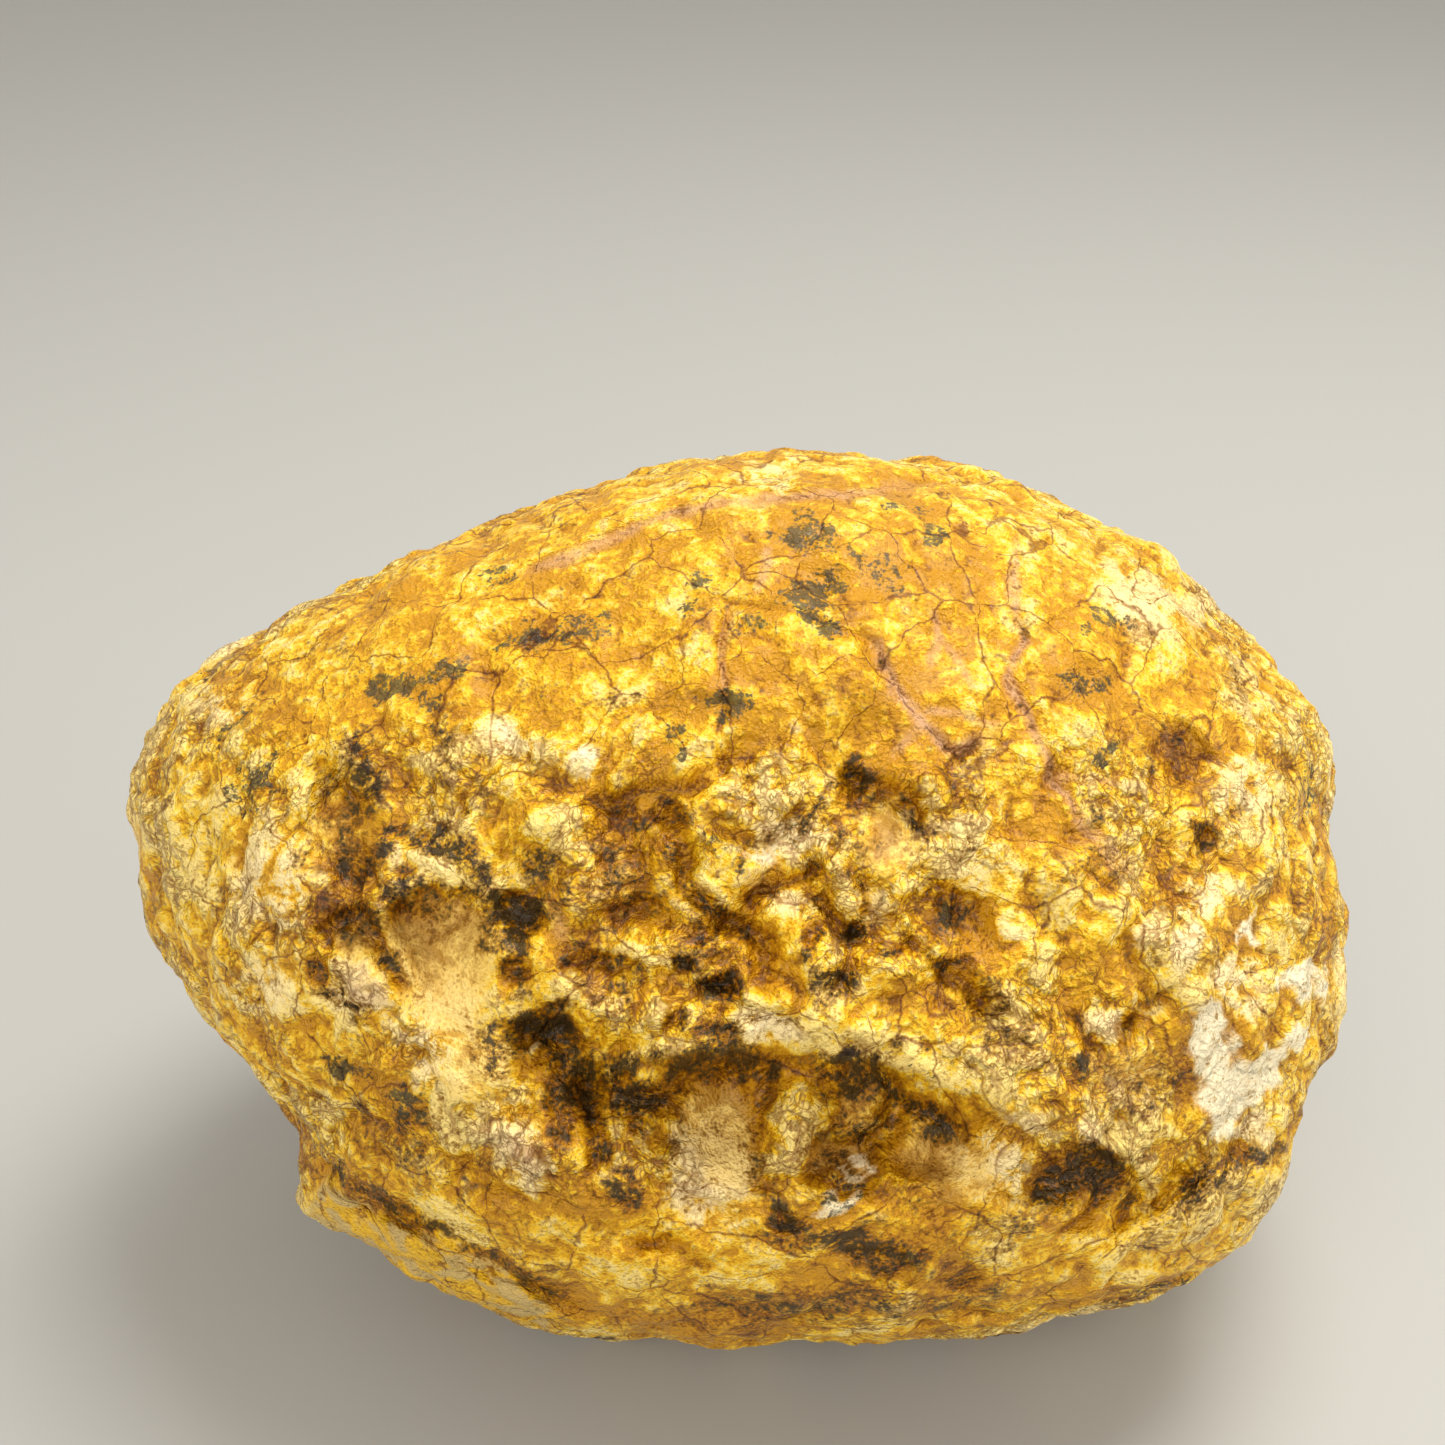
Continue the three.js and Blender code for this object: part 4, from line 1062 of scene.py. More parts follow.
@dataclass(frozen=True)
class Body:
    """Rounded body of the stone: a turned box whose girth follows the contour.

    The contour's plane lies a few mm before the centre, and share is the body's size
    over the contour's. widest and spread are angles from the sight line: where the body
    has the contour's girth, and how far from there the girth grows calm, a mean over
    calm_steps steps of calm_step degrees either way.
    """

    sight: Sight = Sight()
    before: float = 14.0
    share: float = 1.018
    widest: float = math.radians(76.0)
    spread: float = math.radians(20.0)
    front_depth: float = 54.0
    back_depth: float = 56.0
    exponent: float = 2.25
    calm_step: float = 8.0
    calm_steps: int = 3

    def radius(self, direction: np.ndarray) -> np.ndarray:
        """Distance from the centre: ((sin a / girth)^m + (|cos a| / depth)^m)^(-1/m).

        a is the angle from the sight line. The girth follows the contour where the body
        is widest and a calmer version of it, the mean over 48 degrees, towards front and
        back.

        Args:
            direction: unit directions, one row each.

        Returns:
            Distance from the centre, in mm.
        """
        knots = self.sight.section(np.array(CONTOUR, float), self.before)
        around = np.degrees(np.arctan2(direction[:, 1], direction[:, 0])) % 360.0
        away = np.arccos(np.clip(direction[:, 2], -1.0, 1.0))
        sharp = closed_curve(around, knots)
        turns = [k * self.calm_step for k in range(-self.calm_steps, self.calm_steps + 1)]
        calm = sum(closed_curve(around + turn, knots) for turn in turns) / len(turns)
        follow = np.exp(-(((away - self.widest) / self.spread) ** 2))
        girth = (calm + (sharp - calm) * follow) * self.share
        depth = np.where(direction[:, 2] > 0, self.front_depth, self.back_depth)
        m = self.exponent
        return ((np.sin(away) / girth) ** m + (np.abs(np.cos(away)) / depth) ** m) ** (-1 / m)


@dataclass(frozen=True)
class Lumps:
    """Lumps of two sizes, crags and narrow folds, gathered in the middle of the front.

    Each pair of heights, in mm, is that of the whole skin and what is added to it
    behind, for the lumps, or in the middle of the front, for crags and folds. Folds run
    where their noise is nil, and crags stand out from their level. behind and
    floor_front are how much a direction looks towards the eye, -1 to 1.
    """

    sight: Sight = Sight()
    behind: Span = (-0.1, 0.45)
    large: Swell = Swell(30.0, 11)
    large_heights: Pair = (0.7, 1.6)
    small: Swell = Swell(13.0, 21)
    small_heights: Pair = (0.8, 0.4)
    middle: Place = (4.0, -4.0)
    middle_half: Pair = (36.0, 24.0)
    folds: Swell = Swell(11.0, 91)
    fold_width: float = 0.42
    fold_depths: Pair = (0.5, 1.6)
    swirl: Swirl = Swirl(9.0, 81, 2.5)
    crags: Swell = Swell(8.5, 95)
    crag_level: float = 0.3
    crag_heights: Pair = (0.7, 2.8)
    floor_front: Span = (0.0, 0.3)
    floor_full: float = 0.5
    floor_calm: float = 0.85

    def height(self, points: np.ndarray, forward: np.ndarray) -> np.ndarray:
        """Lumps plus crags less folds, the last two calmed on worn floors.

        Args:
            points: positions on the body, in mm.
            forward: how far each direction looks towards the eye, -1 to 1.

        Returns:
            How far the skin stands out, in mm.
        """
        behind = 1.0 - ease(forward, *self.behind)
        lumps = self.large.at(points) * rising(self.large_heights, behind)
        lumps += self.small.at(points) * rising(self.small_heights, behind)
        across, up = self.sight.seen(points)
        side = (across - self.middle[0]) / self.middle_half[0]
        lift = (up - self.middle[1]) / self.middle_half[1]
        middle = np.exp(-(side**2) - lift**2)
        fold = 1.0 - ease(np.abs(self.folds.at(points)), 0.0, self.fold_width)
        crag = np.abs(self.crags.at(self.swirl.moved(points))) - self.crag_level
        folded = rising(self.crag_heights, middle) * crag - rising(self.fold_depths, middle) * fold
        floors = strongest(TAN_FLOORS, across, up) * ease(forward, *self.floor_front)
        return lumps + folded * (1.0 - self.floor_calm * ease(floors, 0.0, self.floor_full))


@dataclass(frozen=True)
class Crust:
    """Crust of the stone: domed cells of two sizes, cracks, pocks and wrinkles.

    Cells, domes and depths are in mm; the widths of cracks and pocks are in cells.
    unpocked is the share of the small cells that have no pock, and level is the height
    that is taken off so that the crust keeps the stone's size. The small cells begin
    and are in full where a direction looks towards the eye by fine_front.
    """

    swirl: Swirl = Swirl(4.0, 51, 1.2)
    cell: float = 4.6
    cell_seed: int = 61
    dome: float = 0.44
    crack_width: float = 0.14
    crack_depth: float = 0.30
    small_cell: float = 2.4
    small_seed: int = 66
    small_dome: float = 0.22
    unpocked: float = 0.72
    pock_half: float = 0.55
    pock_depth: float = 0.5
    wrinkles: Swell = Swell(7.0, 71, 0.7)
    ripples: Swell = Swell(2.6, 81, 0.3)
    level: float = 0.24
    fine_front: Span = (-0.7, 0.0)
    worn_calm: float = 0.65

    def height(self, points: np.ndarray, calm: np.ndarray, forward: np.ndarray) -> np.ndarray:
        """Domes, less cracks and pocks, plus wrinkles and ripples, calmed where worn.

        Args:
            points: positions, in mm.
            calm: where the crust is worn smooth, 0 to 1.
            forward: how far each direction looks towards the eye, -1 to 1.

        Returns:
            How far the crust stands out, in mm.
        """
        swirled = self.swirl.moved(points)
        near, next_near, _ = cells(swirled, self.cell, self.cell_seed)
        near_small, _, owner = cells(swirled, self.small_cell, self.small_seed)
        crack = 1.0 - ease(next_near - near, 0.0, self.crack_width)
        pit = np.clip(1.0 - (near_small / self.pock_half) ** 2, 0.0, 1.0)
        pock = np.where(owner > self.unpocked, pit, 0.0)
        out = self.dome * (0.5 - near) - self.crack_depth * crack
        out = out + np.abs(self.wrinkles.at(points)) - self.level
        fine = self.small_dome * (0.5 - near_small) + self.ripples.at(points)
        out += ease(forward, *self.fine_front) * (fine - self.pock_depth * pock)
        return out * (1.0 - self.worn_calm * calm)


@dataclass(frozen=True)
class Drift:
    """One kind of colour mark: its marks on the front, and drifting patches where it is hidden. The
    brown kind holds painted shade as well as stains, the cream kind a painted highlight.

    Attributes:
        mask: what its strength is kept as.
        marks: its marks on the front.
        wave: size of its patches, in mm.
        seed: picks one of many unrelated fields.
        low: level of the noise at which a patch begins; higher for fewer patches.
    """

    mask: Mask
    marks: Sequence[Mark]
    wave: float
    seed: int
    low: float
    fine_wave: ClassVar[float] = 0.4
    fine_share: ClassVar[float] = 0.5
    edge: ClassVar[float] = 0.6
    full: ClassVar[float] = 0.8

    def strength(
        self, points: np.ndarray, across: np.ndarray, up: np.ndarray, facing: np.ndarray
    ) -> np.ndarray:
        """Strongest mark where the skin faces the eye, graded noise where it is hidden.

        Args:
            points: positions, in mm.
            across, up: places as seen, in mm.
            facing: 1 where the skin faces the eye, 0 where it is hidden.

        Returns:
            Strength from 0 to 1.
        """
        fine = noise(points, self.wave * self.fine_wave, self.seed + 3)
        drift = noise(points, self.wave, self.seed) + self.fine_share * fine
        elsewhere = ease(drift, self.low, self.low + self.edge) * self.full * (1.0 - facing)
        return np.maximum(strongest(self.marks, across, up) * facing, elsewhere)


DRIFTS = (
    Drift(Mask.BROWN, BROWN_STAINS_AND_SHADE, 16.0, 101, 0.1),
    Drift(Mask.DARK, DARK_STAINS, 13.0, 111, 0.3),
    Drift(Mask.CREAM, CREAM_PATCHES_AND_SHEEN, 14.0, 121, 0.2),
    Drift(Mask.TAN, TAN_FLOORS, 18.0, 131, 0.4),
)


@dataclass(frozen=True)
class StainsAndShade:
    """Where the rind is stained, veined and mottled, and where shade and a highlight are painted on
    it.

    Attributes:
        swirl: bends the mottle and the blotches.
        mottle: broad clouds of tone.
        blotch: blotches of a few mm.
        zone: where the rind is rougher and more cracked.
    """

    swirl: Swirl = Swirl(6.0, 141, 1.6)
    mottle: Cloud = Cloud(11.0, 4, 151)
    blotch: Cloud = Cloud(3.6, 3, 171)
    zone: Cloud = Cloud(12.0, 3, 191)

    def masks(
        self, points: np.ndarray, ragged: Sequence[np.ndarray], thin: Sequence[np.ndarray],
        facing: np.ndarray,
    ) -> dict[Mask, np.ndarray]:
        """Strengths of all kinds; veins and seams are only on the front.

        Args:
            points: positions, in mm.
            ragged: places across and up as seen, strayed raggedly, in mm.
            thin: the same for the pink veins, strayed less.
            facing: 1 where the skin faces the eye, 0 where it is hidden.

        Returns:
            Strengths from 0 to 1.
        """
        masks = {drift.mask: drift.strength(points, *ragged, facing) for drift in DRIFTS}
        masks[Mask.PALE] = strongest(PALE_VEINS, *ragged) * facing
        masks[Mask.PINK] = strongest(PINK_VEINS, *thin) * facing
        masks[Mask.BAND] = RIM_BAND.share(*ragged) / RIM_BAND.amount * facing
        swirled = self.swirl.moved(points)
        masks[Mask.MOTTLE] = self.mottle.at(swirled)
        masks[Mask.BLOTCH] = self.blotch.at(swirled)
        masks[Mask.ZONE] = self.zone.at(points)
        return masks


@dataclass(frozen=True)
class StoneForm:
    """Shape of the stone, in mm.

    Lumps, crags, folds and the hollows of the hidden sides move the body's skin in or
    out from the centre. Pits, bumps, creases and ridges of the front move it along the
    line of sight, and the crust moves it out again.

    A Span is where something begins and where it is in full: sunk and stained by how
    squarely the skin faces the eye, crown and foot by the height above and the depth
    below the centre as seen, worn_tan by the strength of the tan floors. The rounds and
    depths are the smoothing and the depth that tell a crevice or a hollow, and shift
    brings the middle of the footprint to the origin.
    """

    sight: Sight = Sight()
    body: Body = Body()
    lumps: Lumps = Lumps()
    crust: Crust = Crust()
    stains_and_shade: StainsAndShade = StainsAndShade()
    steps: int = 128
    join_digits: int = 7
    show_bias: float = 0.4
    hollow_rounding: float = 1.2
    stray: Stray = Stray(((12.0, 1.0), (5.0, 0.9), (2.4, 0.6)), (31, 41))
    line_stray: float = 0.6
    ragged: Stray = Stray(((3.0, 1.2), (1.6, 0.7)), (201, 211))
    sunk: Span = (0.05, 0.35)
    stained: Span = (-0.12, 0.12)
    crown: Span = (12.0, 30.0)
    foot: Span = (30.0, 42.0)
    crown_calm: float = 0.8
    worn_tan: Span = (0.1, 0.5)
    crevice_rounds: int = 5
    crevice_depth: float = 0.22
    hollow_rounds: int = 80
    hollow_depth: float = 1.6
    flat_ease: float = 2.0
    shift: tuple[float, float, float] = (0.15, -1.58, 0.0)

    def directions(self) -> tuple[np.ndarray, np.ndarray]:
        """Grid on a cube blown up to a sphere: (u, v, 1) and its five turns, unit length.

        u and v are tangents of even angles, and every direction is then pulled
        towards the eye, so the cells are smaller on the front.

        Returns:
            Unit directions (across, rise, towards) and the quads between them.
        """
        n = self.steps
        even = np.tan(np.linspace(-1.0, 1.0, n + 1) * math.pi / 4)
        u, v = (grid.ravel() for grid in np.meshgrid(even, even, indexing="ij"))
        one = np.ones_like(u)
        sides = ((u, v, one), (v, u, -one), (one, u, v), (-one, v, u), (v, one, u), (u, -one, v))
        loose = np.concatenate([np.stack(side, axis=1) for side in sides])
        loose /= np.linalg.norm(loose, axis=1, keepdims=True)
        number = np.arange((n + 1) ** 2).reshape(n + 1, n + 1)
        quad = np.stack([number[:-1, :-1], number[1:, :-1], number[1:, 1:], number[:-1, 1:]], -1)
        start = np.arange(len(sides))[:, None, None] * number.size
        quads = (quad.reshape(1, -1, 4) + start).reshape(-1, 4)
        rounded = np.round(loose, self.join_digits) + 0.0  # makes -0.0 and 0.0 the same
        _, first, shared = np.unique(rounded, axis=0, return_index=True, return_inverse=True)
        joined = loose[first] + np.array([0.0, 0.0, self.show_bias])
        return joined / np.linalg.norm(joined, axis=1, keepdims=True), shared.reshape(-1)[quads]

    def hollows(self, points: np.ndarray) -> np.ndarray:
        """Hollows of the hidden sides: (1 - side^2 - lift^2)^1.2 round the upright.

        Args:
            points: positions, in mm, one row each.

        Returns:
            Depth, in mm.
        """
        turned = np.degrees(np.arctan2(points[:, 1], points[:, 0]))
        out = np.hypot(points[:, 0], points[:, 1])
        depth = np.zeros(len(points))
        for degrees, height, half_width, half_height, deep in SIDE_HOLLOWS:
            side = np.radians(np.mod(turned - degrees + 180.0, 360.0) - 180.0) * out / half_width
            lift = (points[:, 2] - height) / half_height
            depth += deep * np.clip(1.0 - side**2 - lift**2, 0.0, 1.0) ** self.hollow_rounding
        return depth

    def rest(self, points: np.ndarray) -> np.ndarray:
        """Resting flat: z below -e becomes 0, and (z + e)^2 / 4e joins it to z above e.

        Args:
            points: positions, in mm.

        Returns:
            The points with the flat, moved to the middle of the footprint.
        """
        e = self.flat_ease
        z = points[:, 2]
        flat = np.where(z <= -e, 0.0, np.where(z < e, (z + e) ** 2 / (4.0 * e), z))
        return np.stack([points[:, 0], points[:, 1], flat], axis=1) + np.array(self.shift)

    def skin(self) -> Skin:
        """Whole skin: body, lumps, marks of the front, crust and resting flat.

        Returns:
            The skin with its masks.
        """
        sight = self.sight
        direction, quads = self.directions()
        forward = direction[:, 2]
        outward = direction @ np.stack([sight.across, sight.rise, sight.towards])
        points = sight.centre + self.body.radius(direction)[:, None] * outward
        hollow = self.hollows(points)
        bed = points + (self.lumps.height(points, forward) - hollow)[:, None] * outward

        across, up = sight.seen(bed)
        stray = self.stray.shift(bed)
        patch = (across + stray[0], up + stray[1])
        line = (across + stray[0] * self.line_stray, up + stray[1] * self.line_stray)
        depth = total(PITS, *patch) - total(BUMPS, *patch)
        depth = depth + total(CREASES, *line) - total(RIDGES, *line)
        ray = bed - sight.eye
        ray /= np.linalg.norm(ray, axis=1, keepdims=True)
        towards_eye = -np.einsum("ij,ij->i", outward, ray)
        facing = ease(towards_eye, *self.sunk)
        points = bed + (depth * facing)[:, None] * ray

        shift = self.ragged.shift(bed)
        ragged = (patch[0] + shift[0], patch[1] + shift[1])
        masks = self.stains_and_shade.masks(bed, ragged, line, ease(towards_eye, *self.stained))
        crown = self.crown_calm * (ease(up, *self.crown) + ease(-up, *self.foot)) * facing
        floors = ease(masks[Mask.TAN], *self.worn_tan)
        masks[Mask.WORN] = np.maximum.reduce([floors, masks[Mask.BAND], crown])
        points = points + self.crust.height(bed, masks[Mask.WORN], forward)[:, None] * outward
        # crevice and hollow strengths, from which the finish paints shade and highlight
        for mask, rounds, deep in (
            (Mask.CREVICE, self.crevice_rounds, self.crevice_depth),
            (Mask.HOLLOW, self.hollow_rounds, self.hollow_depth),
        ):
            # 0.5 on even skin, 1 where it lies a full depth below the smoothed skin
            below = np.einsum("ij,ij->i", smoothed(points, quads, rounds) - points, outward)
            masks[mask] = np.clip(0.5 + 0.5 * below / deep, 0.0, 1.0)
        return Skin(self.rest(points), quads, bed, masks)


# ------------------------------------------------------------------ finishes


Socket = bpy.types.NodeSocket
Value = Socket | float | Colour
COLOUR_GAIN = 8.0  # a noise's colour strays from its middle by about an eighth


@dataclass(frozen=True)
class Step:
    """Smooth step: start below low, end above high."""

    low: float
    high: float
    start: float = 0.0
    end: float = 1.0


class Bench:
    """Node tree of one material, put together by short calls."""

    def __init__(self, name: str) -> None:
        """Starts a material.

        Args:
            name: name of the material.
        """
        self.material = bpy.data.materials.new(name)
        self.material.use_nodes = True
        self.tree = self.material.node_tree
        self.shader = self.tree.nodes["Principled BSDF"]

    def node(
        self, kind: str, inputs: dict[int | str, Value], **settings: object
    ) -> bpy.types.Node:
        """Adds a node.

        Args:
            kind: type of node.
            inputs: a value or another node's socket for each input.
            settings: properties of the node.

        Returns:
            The node.
        """
        node = self.tree.nodes.new(kind)
        for name, value in settings.items():
            setattr(node, name, value)
        for name, value in inputs.items():
            self.wire(node.inputs[name], value)
        return node

    def wire(self, socket: Socket, value: Value) -> None:
        """Links an input to another node's socket, or sets it to a value.

        Args:
            socket: the input.
            value: another node's socket, or a number or colour.
        """
        if isinstance(value, Socket):
            self.tree.links.new(value, socket)
        else:
            socket.default_value = value

    def place(self) -> Socket:
        """Position kept on the skin, in mm."""
        return self.node("ShaderNodeAttribute", {}, attribute_name=BED).outputs["Vector"]

    def mask(self, mask: Mask) -> Socket:
        """Strength kept on the skin."""
        return self.node("ShaderNodeAttribute", {}, attribute_name=mask.value).outputs["Fac"]

    def noise(self, at: Socket, wave: float, detail: float, rough: float) -> bpy.types.Node:
        """Noise with features about wave mm across.

        Args:
            at: position, in mm.
            wave: size of the largest features, in mm.
            detail: how many finer layers it has.
            rough: how strong the finer layers are.

        Returns:
            The node, with a Fac and a Color output.
        """
        inputs = {"Vector": at, "Scale": 1 / wave, "Detail": detail, "Roughness": rough}
        return self.node("ShaderNodeTexNoise", inputs)

    def cells(self, at: Socket, wave: float, feature: str) -> bpy.types.Node:
        """Cellular field with cells about wave mm across.

        Args:
            at: position, in mm.
            wave: size of the cells, in mm.
            feature: F1 for the distance from the middle of a cell, DISTANCE_TO_EDGE
                for the distance from its edge, both in cells.

        Returns:
            The node, with a Distance output and, for F1, a Color output.
        """
        inputs = {"Vector": at, "Scale": 1 / wave}
        return self.node("ShaderNodeTexVoronoi", inputs, feature=feature)

    def maths(self, operation: str, *values: Value) -> Socket:
        """Arithmetic on one to three numbers."""
        inputs = dict(enumerate(values))
        return self.node("ShaderNodeMath", inputs, operation=operation).outputs[0]

    def heap(self, base: Value, *terms: tuple[Value, Value]) -> Socket:
        """Sum of a base and of terms, added in order.

        Args:
            base: number to start from.
            terms: pairs of a number and its weight.

        Returns:
            The sum.
        """
        for value, weight in terms:
            base = self.maths("MULTIPLY_ADD", value, weight, base)
        return base

    def grade(self, value: Value, step: Step) -> Socket:
        """Smooth step between two values."""
        inputs = {0: value, 1: step.low, 2: step.high, 3: step.start, 4: step.end}
        return self.node("ShaderNodeMapRange", inputs, interpolation_type="SMOOTHSTEP").outputs[0]

    def near(self, distance: Socket, width: Socket) -> Socket:
        """1 where a distance is 0, easing to 0 at a width."""
        inputs = {0: distance, 1: 0.0, 2: width, 3: 1.0, 4: 0.0}
        return self.node("ShaderNodeMapRange", inputs, interpolation_type="SMOOTHSTEP").outputs[0]

    def stray(self, at: Socket, wave: float, reach: float) -> Socket:
        """Position pushed about: at + (noise colour - its middle) * gain * reach.

        Args:
            at: position, in mm.
            wave: size of the largest swirls, in mm.
            reach: usual push, in mm.

        Returns:
            The new position, in mm.
        """
        push = self.noise(at, wave, detail=3.0, rough=0.5).outputs["Color"]
        middle = (0.5, 0.5, 0.5)
        centred = self.node("ShaderNodeVectorMath", {0: push, 1: middle}, operation="SUBTRACT")
        inputs = {0: centred.outputs[0], 3: reach * COLOUR_GAIN}
        scaled = self.node("ShaderNodeVectorMath", inputs, operation="SCALE")
        inputs = {0: at, 1: scaled.outputs[0]}
        return self.node("ShaderNodeVectorMath", inputs, operation="ADD").outputs[0]

    def ramp(self, value: Value, stops: Sequence[tuple[float, Colour]]) -> Socket:
        """Colour graded through stops.

        Args:
            value: number from 0 to 1.
            stops: (position, colour) in rising order.

        Returns:
            The colour.
        """
        node = self.node("ShaderNodeValToRGB", {0: value})
        elements = node.color_ramp.elements
        while len(elements) < len(stops):
            elements.new(1.0)
        for element, (position, colour) in zip(elements, stops):
            element.position = position
            element.color = (*colour, 1.0)
        return node.outputs[0]

    def mix(self, share: Value, under: Value, over: Value, blend: str = "MIX") -> Socket:
        """Lays one colour over another.

        Args:
            share: how much of the upper colour shows.
            under: lower colour.
            over: upper colour.
            blend: how they are put together.

        Returns:
            The colour.
        """
        full = [(*c, 1.0) if isinstance(c, tuple) else c for c in (under, over)]
        inputs = {0: share, 6: full[0], 7: full[1]}
        return self.node("ShaderNodeMix", inputs, data_type="RGBA", blend_type=blend).outputs[2]


@dataclass(frozen=True)
class Fields:
    """Random fields that the parts of the rind's finish share.

    Attributes:
        strayed: position pushed about raggedly, in mm.
        cobble: distance from the edges of cobbles a few mm across, in cobbles.
        tint: random number of each cobble.
        chip: distance from the middle of chips a millimetre across, in chips.
        rough: 1 where the rind is rough, less where it is worn.
        fleck: noise of flecks about a millimetre across.
        speck: noise of specks under half a millimetre across.
        worm: noise whose middle level runs in winding hairlines.
        blotch: noise of blotches of a few mm.
    """

    strayed: Socket
    cobble: Socket
    tint: Socket
    chip: Socket
    rough: Socket
    fleck: Socket
    speck: Socket
    worm: Socket
    blotch: Socket


@dataclass(frozen=True)
class RindFinish:
    """Ochre rind: mottled gold and cream, stained brown and painted with shade in its hollows, damp
    sheen.

    Colours are linear. Sizes are in mm, but a crack's width is in cells of its own kind.
    A Step turns a random field or a mask into a share, a width or a strength.
    """

    sienna: Colour = (0.54, 0.25, 0.006)
    ochre: Colour = (0.71, 0.36, 0.006)
    gold: Colour = (0.84, 0.49, 0.012)
    straw: Colour = (0.91, 0.605, 0.055)
    cream: Colour = (0.95, 0.72, 0.22)
    butter: Colour = (0.96, 0.77, 0.42)
    tan: Colour = (0.50, 0.29, 0.06)
    sand: Colour = (0.93, 0.66, 0.20)
    glaze: Colour = (0.48, 0.345, 0.15)
    rust: Colour = (0.19, 0.105, 0.016)
    umber: Colour = (0.078, 0.050, 0.012)
    # deepest brown, for the darkest stains and the painted shade in the pits
    deepest_brown: Colour = (0.032, 0.024, 0.009)
    crack: Colour = (0.26, 0.13, 0.05)
    slate: Colour = (0.070, 0.058, 0.026)
    pink: Colour = (0.60, 0.35, 0.20)
    white: Colour = (0.96, 0.85, 0.58)
    horn: Colour = (0.60, 0.42, 0.14)

    # sizes of the random fields
    stray_size: float = 3.6
    stray_reach: float = 0.34
    cobble_size: float = 3.4
    chip_size: float = 1.15
    fleck_size: float = 1.3
    speck_size: float = 0.42
    worm_size: float = 1.0
    split_size: float = 1.7
    long_size: float = 9.5
    rough_where_worn: Step = Step(0.0, 1.0, 1.0, 0.15)
    rough_by_zone: Step = Step(0.40, 0.60, 0.5, 1.0)

    # widths and strengths of the cracks
    cobble_gap: Step = Step(0.40, 0.64, 0.0, 0.10)
    split_gap: Step = Step(0.44, 0.62, 0.0, 0.14)
    worm_gap: Step = Step(0.36, 0.62, 0.015, 0.07)
    long_gap: Step = Step(0.36, 0.60, 0.004, 0.03)
    split_strength: float = 0.8
    worm_strength: float = 0.9
    crack_where_bare: Step = Step(0.1, 0.6, 1.0, 0.12)
    crack_strength: float = 0.85

    # ground
    cobble_crest: Step = Step(0.0, 0.3, 0.0, 0.12)
    tone_span: Step = Step(0.89, 1.59)
    butter_share: Step = Step(0.3, 0.9, 0.0, 0.8)
    worn_share: Step = Step(0.35, 1.0, 0.0, 0.8)

    # veins and band
    pink_breaks: Step = Step(0.25, 0.6, 0.3, 0.9)
    white_share: Step = Step(1.0, 1.55, 0.0, 0.95)
    horn_gold: Step = Step(0.42, 0.58)
    band_share: Step = Step(0.15, 0.7)

    # stain marks, painted shade and dirt in crevices, painted shade in hollows, and dark patches
    ragged_level: float = 1.85
    crevice_dirt_and_shade: Step = Step(0.55, 1.0, 0.0, 0.26)
    hollow_shade: Step = Step(0.55, 1.0, 0.0, 0.14)
    sunk_where_tan: Step = Step(0.0, 0.6, 1.0, 0.3)
    brown_strength: float = 0.95
    brown_where_pale: Step = Step(0.2, 0.8, 1.0, 0.1)
    brown_raggedness: Step = Step(0.2, 1.0, 0.9, 1.6)
    glaze_share: Step = Step(0.08, 0.50, 0.0, 0.95)
    brown_share: Step = Step(0.38, 0.86, 0.0, 0.90)
    dark_raggedness: Step = Step(0.0, 0.25, 0.0, 2.2)
    dark_share: Step = Step(0.10, 0.90, 0.0, 0.85)

    # sheen
    roughness: Step = Step(0.35, 0.65, 0.28, 0.55)
    tan_roughness: float = 0.15
    specular: float = 0.22
    coat: float = 0.09
    coat_roughness: float = 0.2

    # fine relief, in mm
    cobble_rise: Step = Step(0.0, 0.22, 0.0, 0.42)
    chip_height: float = 0.42
    fleck_height: float = 0.65
    speck_height: float = 0.34

    def material(self) -> bpy.types.Material:
        """Builds the node tree.

        Returns:
            The finished material.
        """
        bench = Bench("ochre rind")
        fields = self.fields(bench)
        cracks = self.cracks(bench, fields)
        colour = self.ground(bench, fields)
        colour = self.veins(bench, colour, fields)
        colour = self.stains_and_shade(bench, colour, fields, cracks)
        roughness = bench.grade(fields.fleck, self.roughness)
        roughness = bench.heap(roughness, (bench.mask(Mask.TAN), self.tan_roughness))
        inputs = bench.shader.inputs
        bench.wire(inputs["Base Color"], colour)
        bench.wire(inputs["Roughness"], roughness)
        bench.wire(inputs["Normal"], self.relief(bench, fields))
        bench.wire(inputs["Specular IOR Level"], self.specular)
        bench.wire(inputs["Coat Weight"], self.coat)
        bench.wire(inputs["Coat Roughness"], self.coat_roughness)
        return bench.material

    def fields(self, bench: Bench) -> Fields:
        """Makes the shared fields.

        Args:
            bench: node tree to add to.

        Returns:
            The fields.
        """
        at = bench.stray(bench.place(), self.stray_size, self.stray_reach)
        rough_where_worn = bench.grade(bench.mask(Mask.WORN), self.rough_where_worn)
        rough_by_zone = bench.grade(bench.mask(Mask.ZONE), self.rough_by_zone)
        return Fields(
            strayed=at,
            cobble=bench.cells(at, self.cobble_size, "DISTANCE_TO_EDGE").outputs["Distance"],
            tint=bench.cells(at, self.cobble_size, "F1").outputs["Color"],
            chip=bench.cells(at, self.chip_size, "F1").outputs["Distance"],
            rough=bench.maths("MULTIPLY", rough_where_worn, rough_by_zone),
            fleck=bench.noise(at, self.fleck_size, detail=2.0, rough=0.66).outputs[0],
            speck=bench.noise(bench.place(), self.speck_size, detail=1.0, rough=0.6).outputs[0],
            worm=bench.noise(at, self.worm_size, detail=1.0, rough=0.6).outputs[0],
            blotch=bench.mask(Mask.BLOTCH),
        )

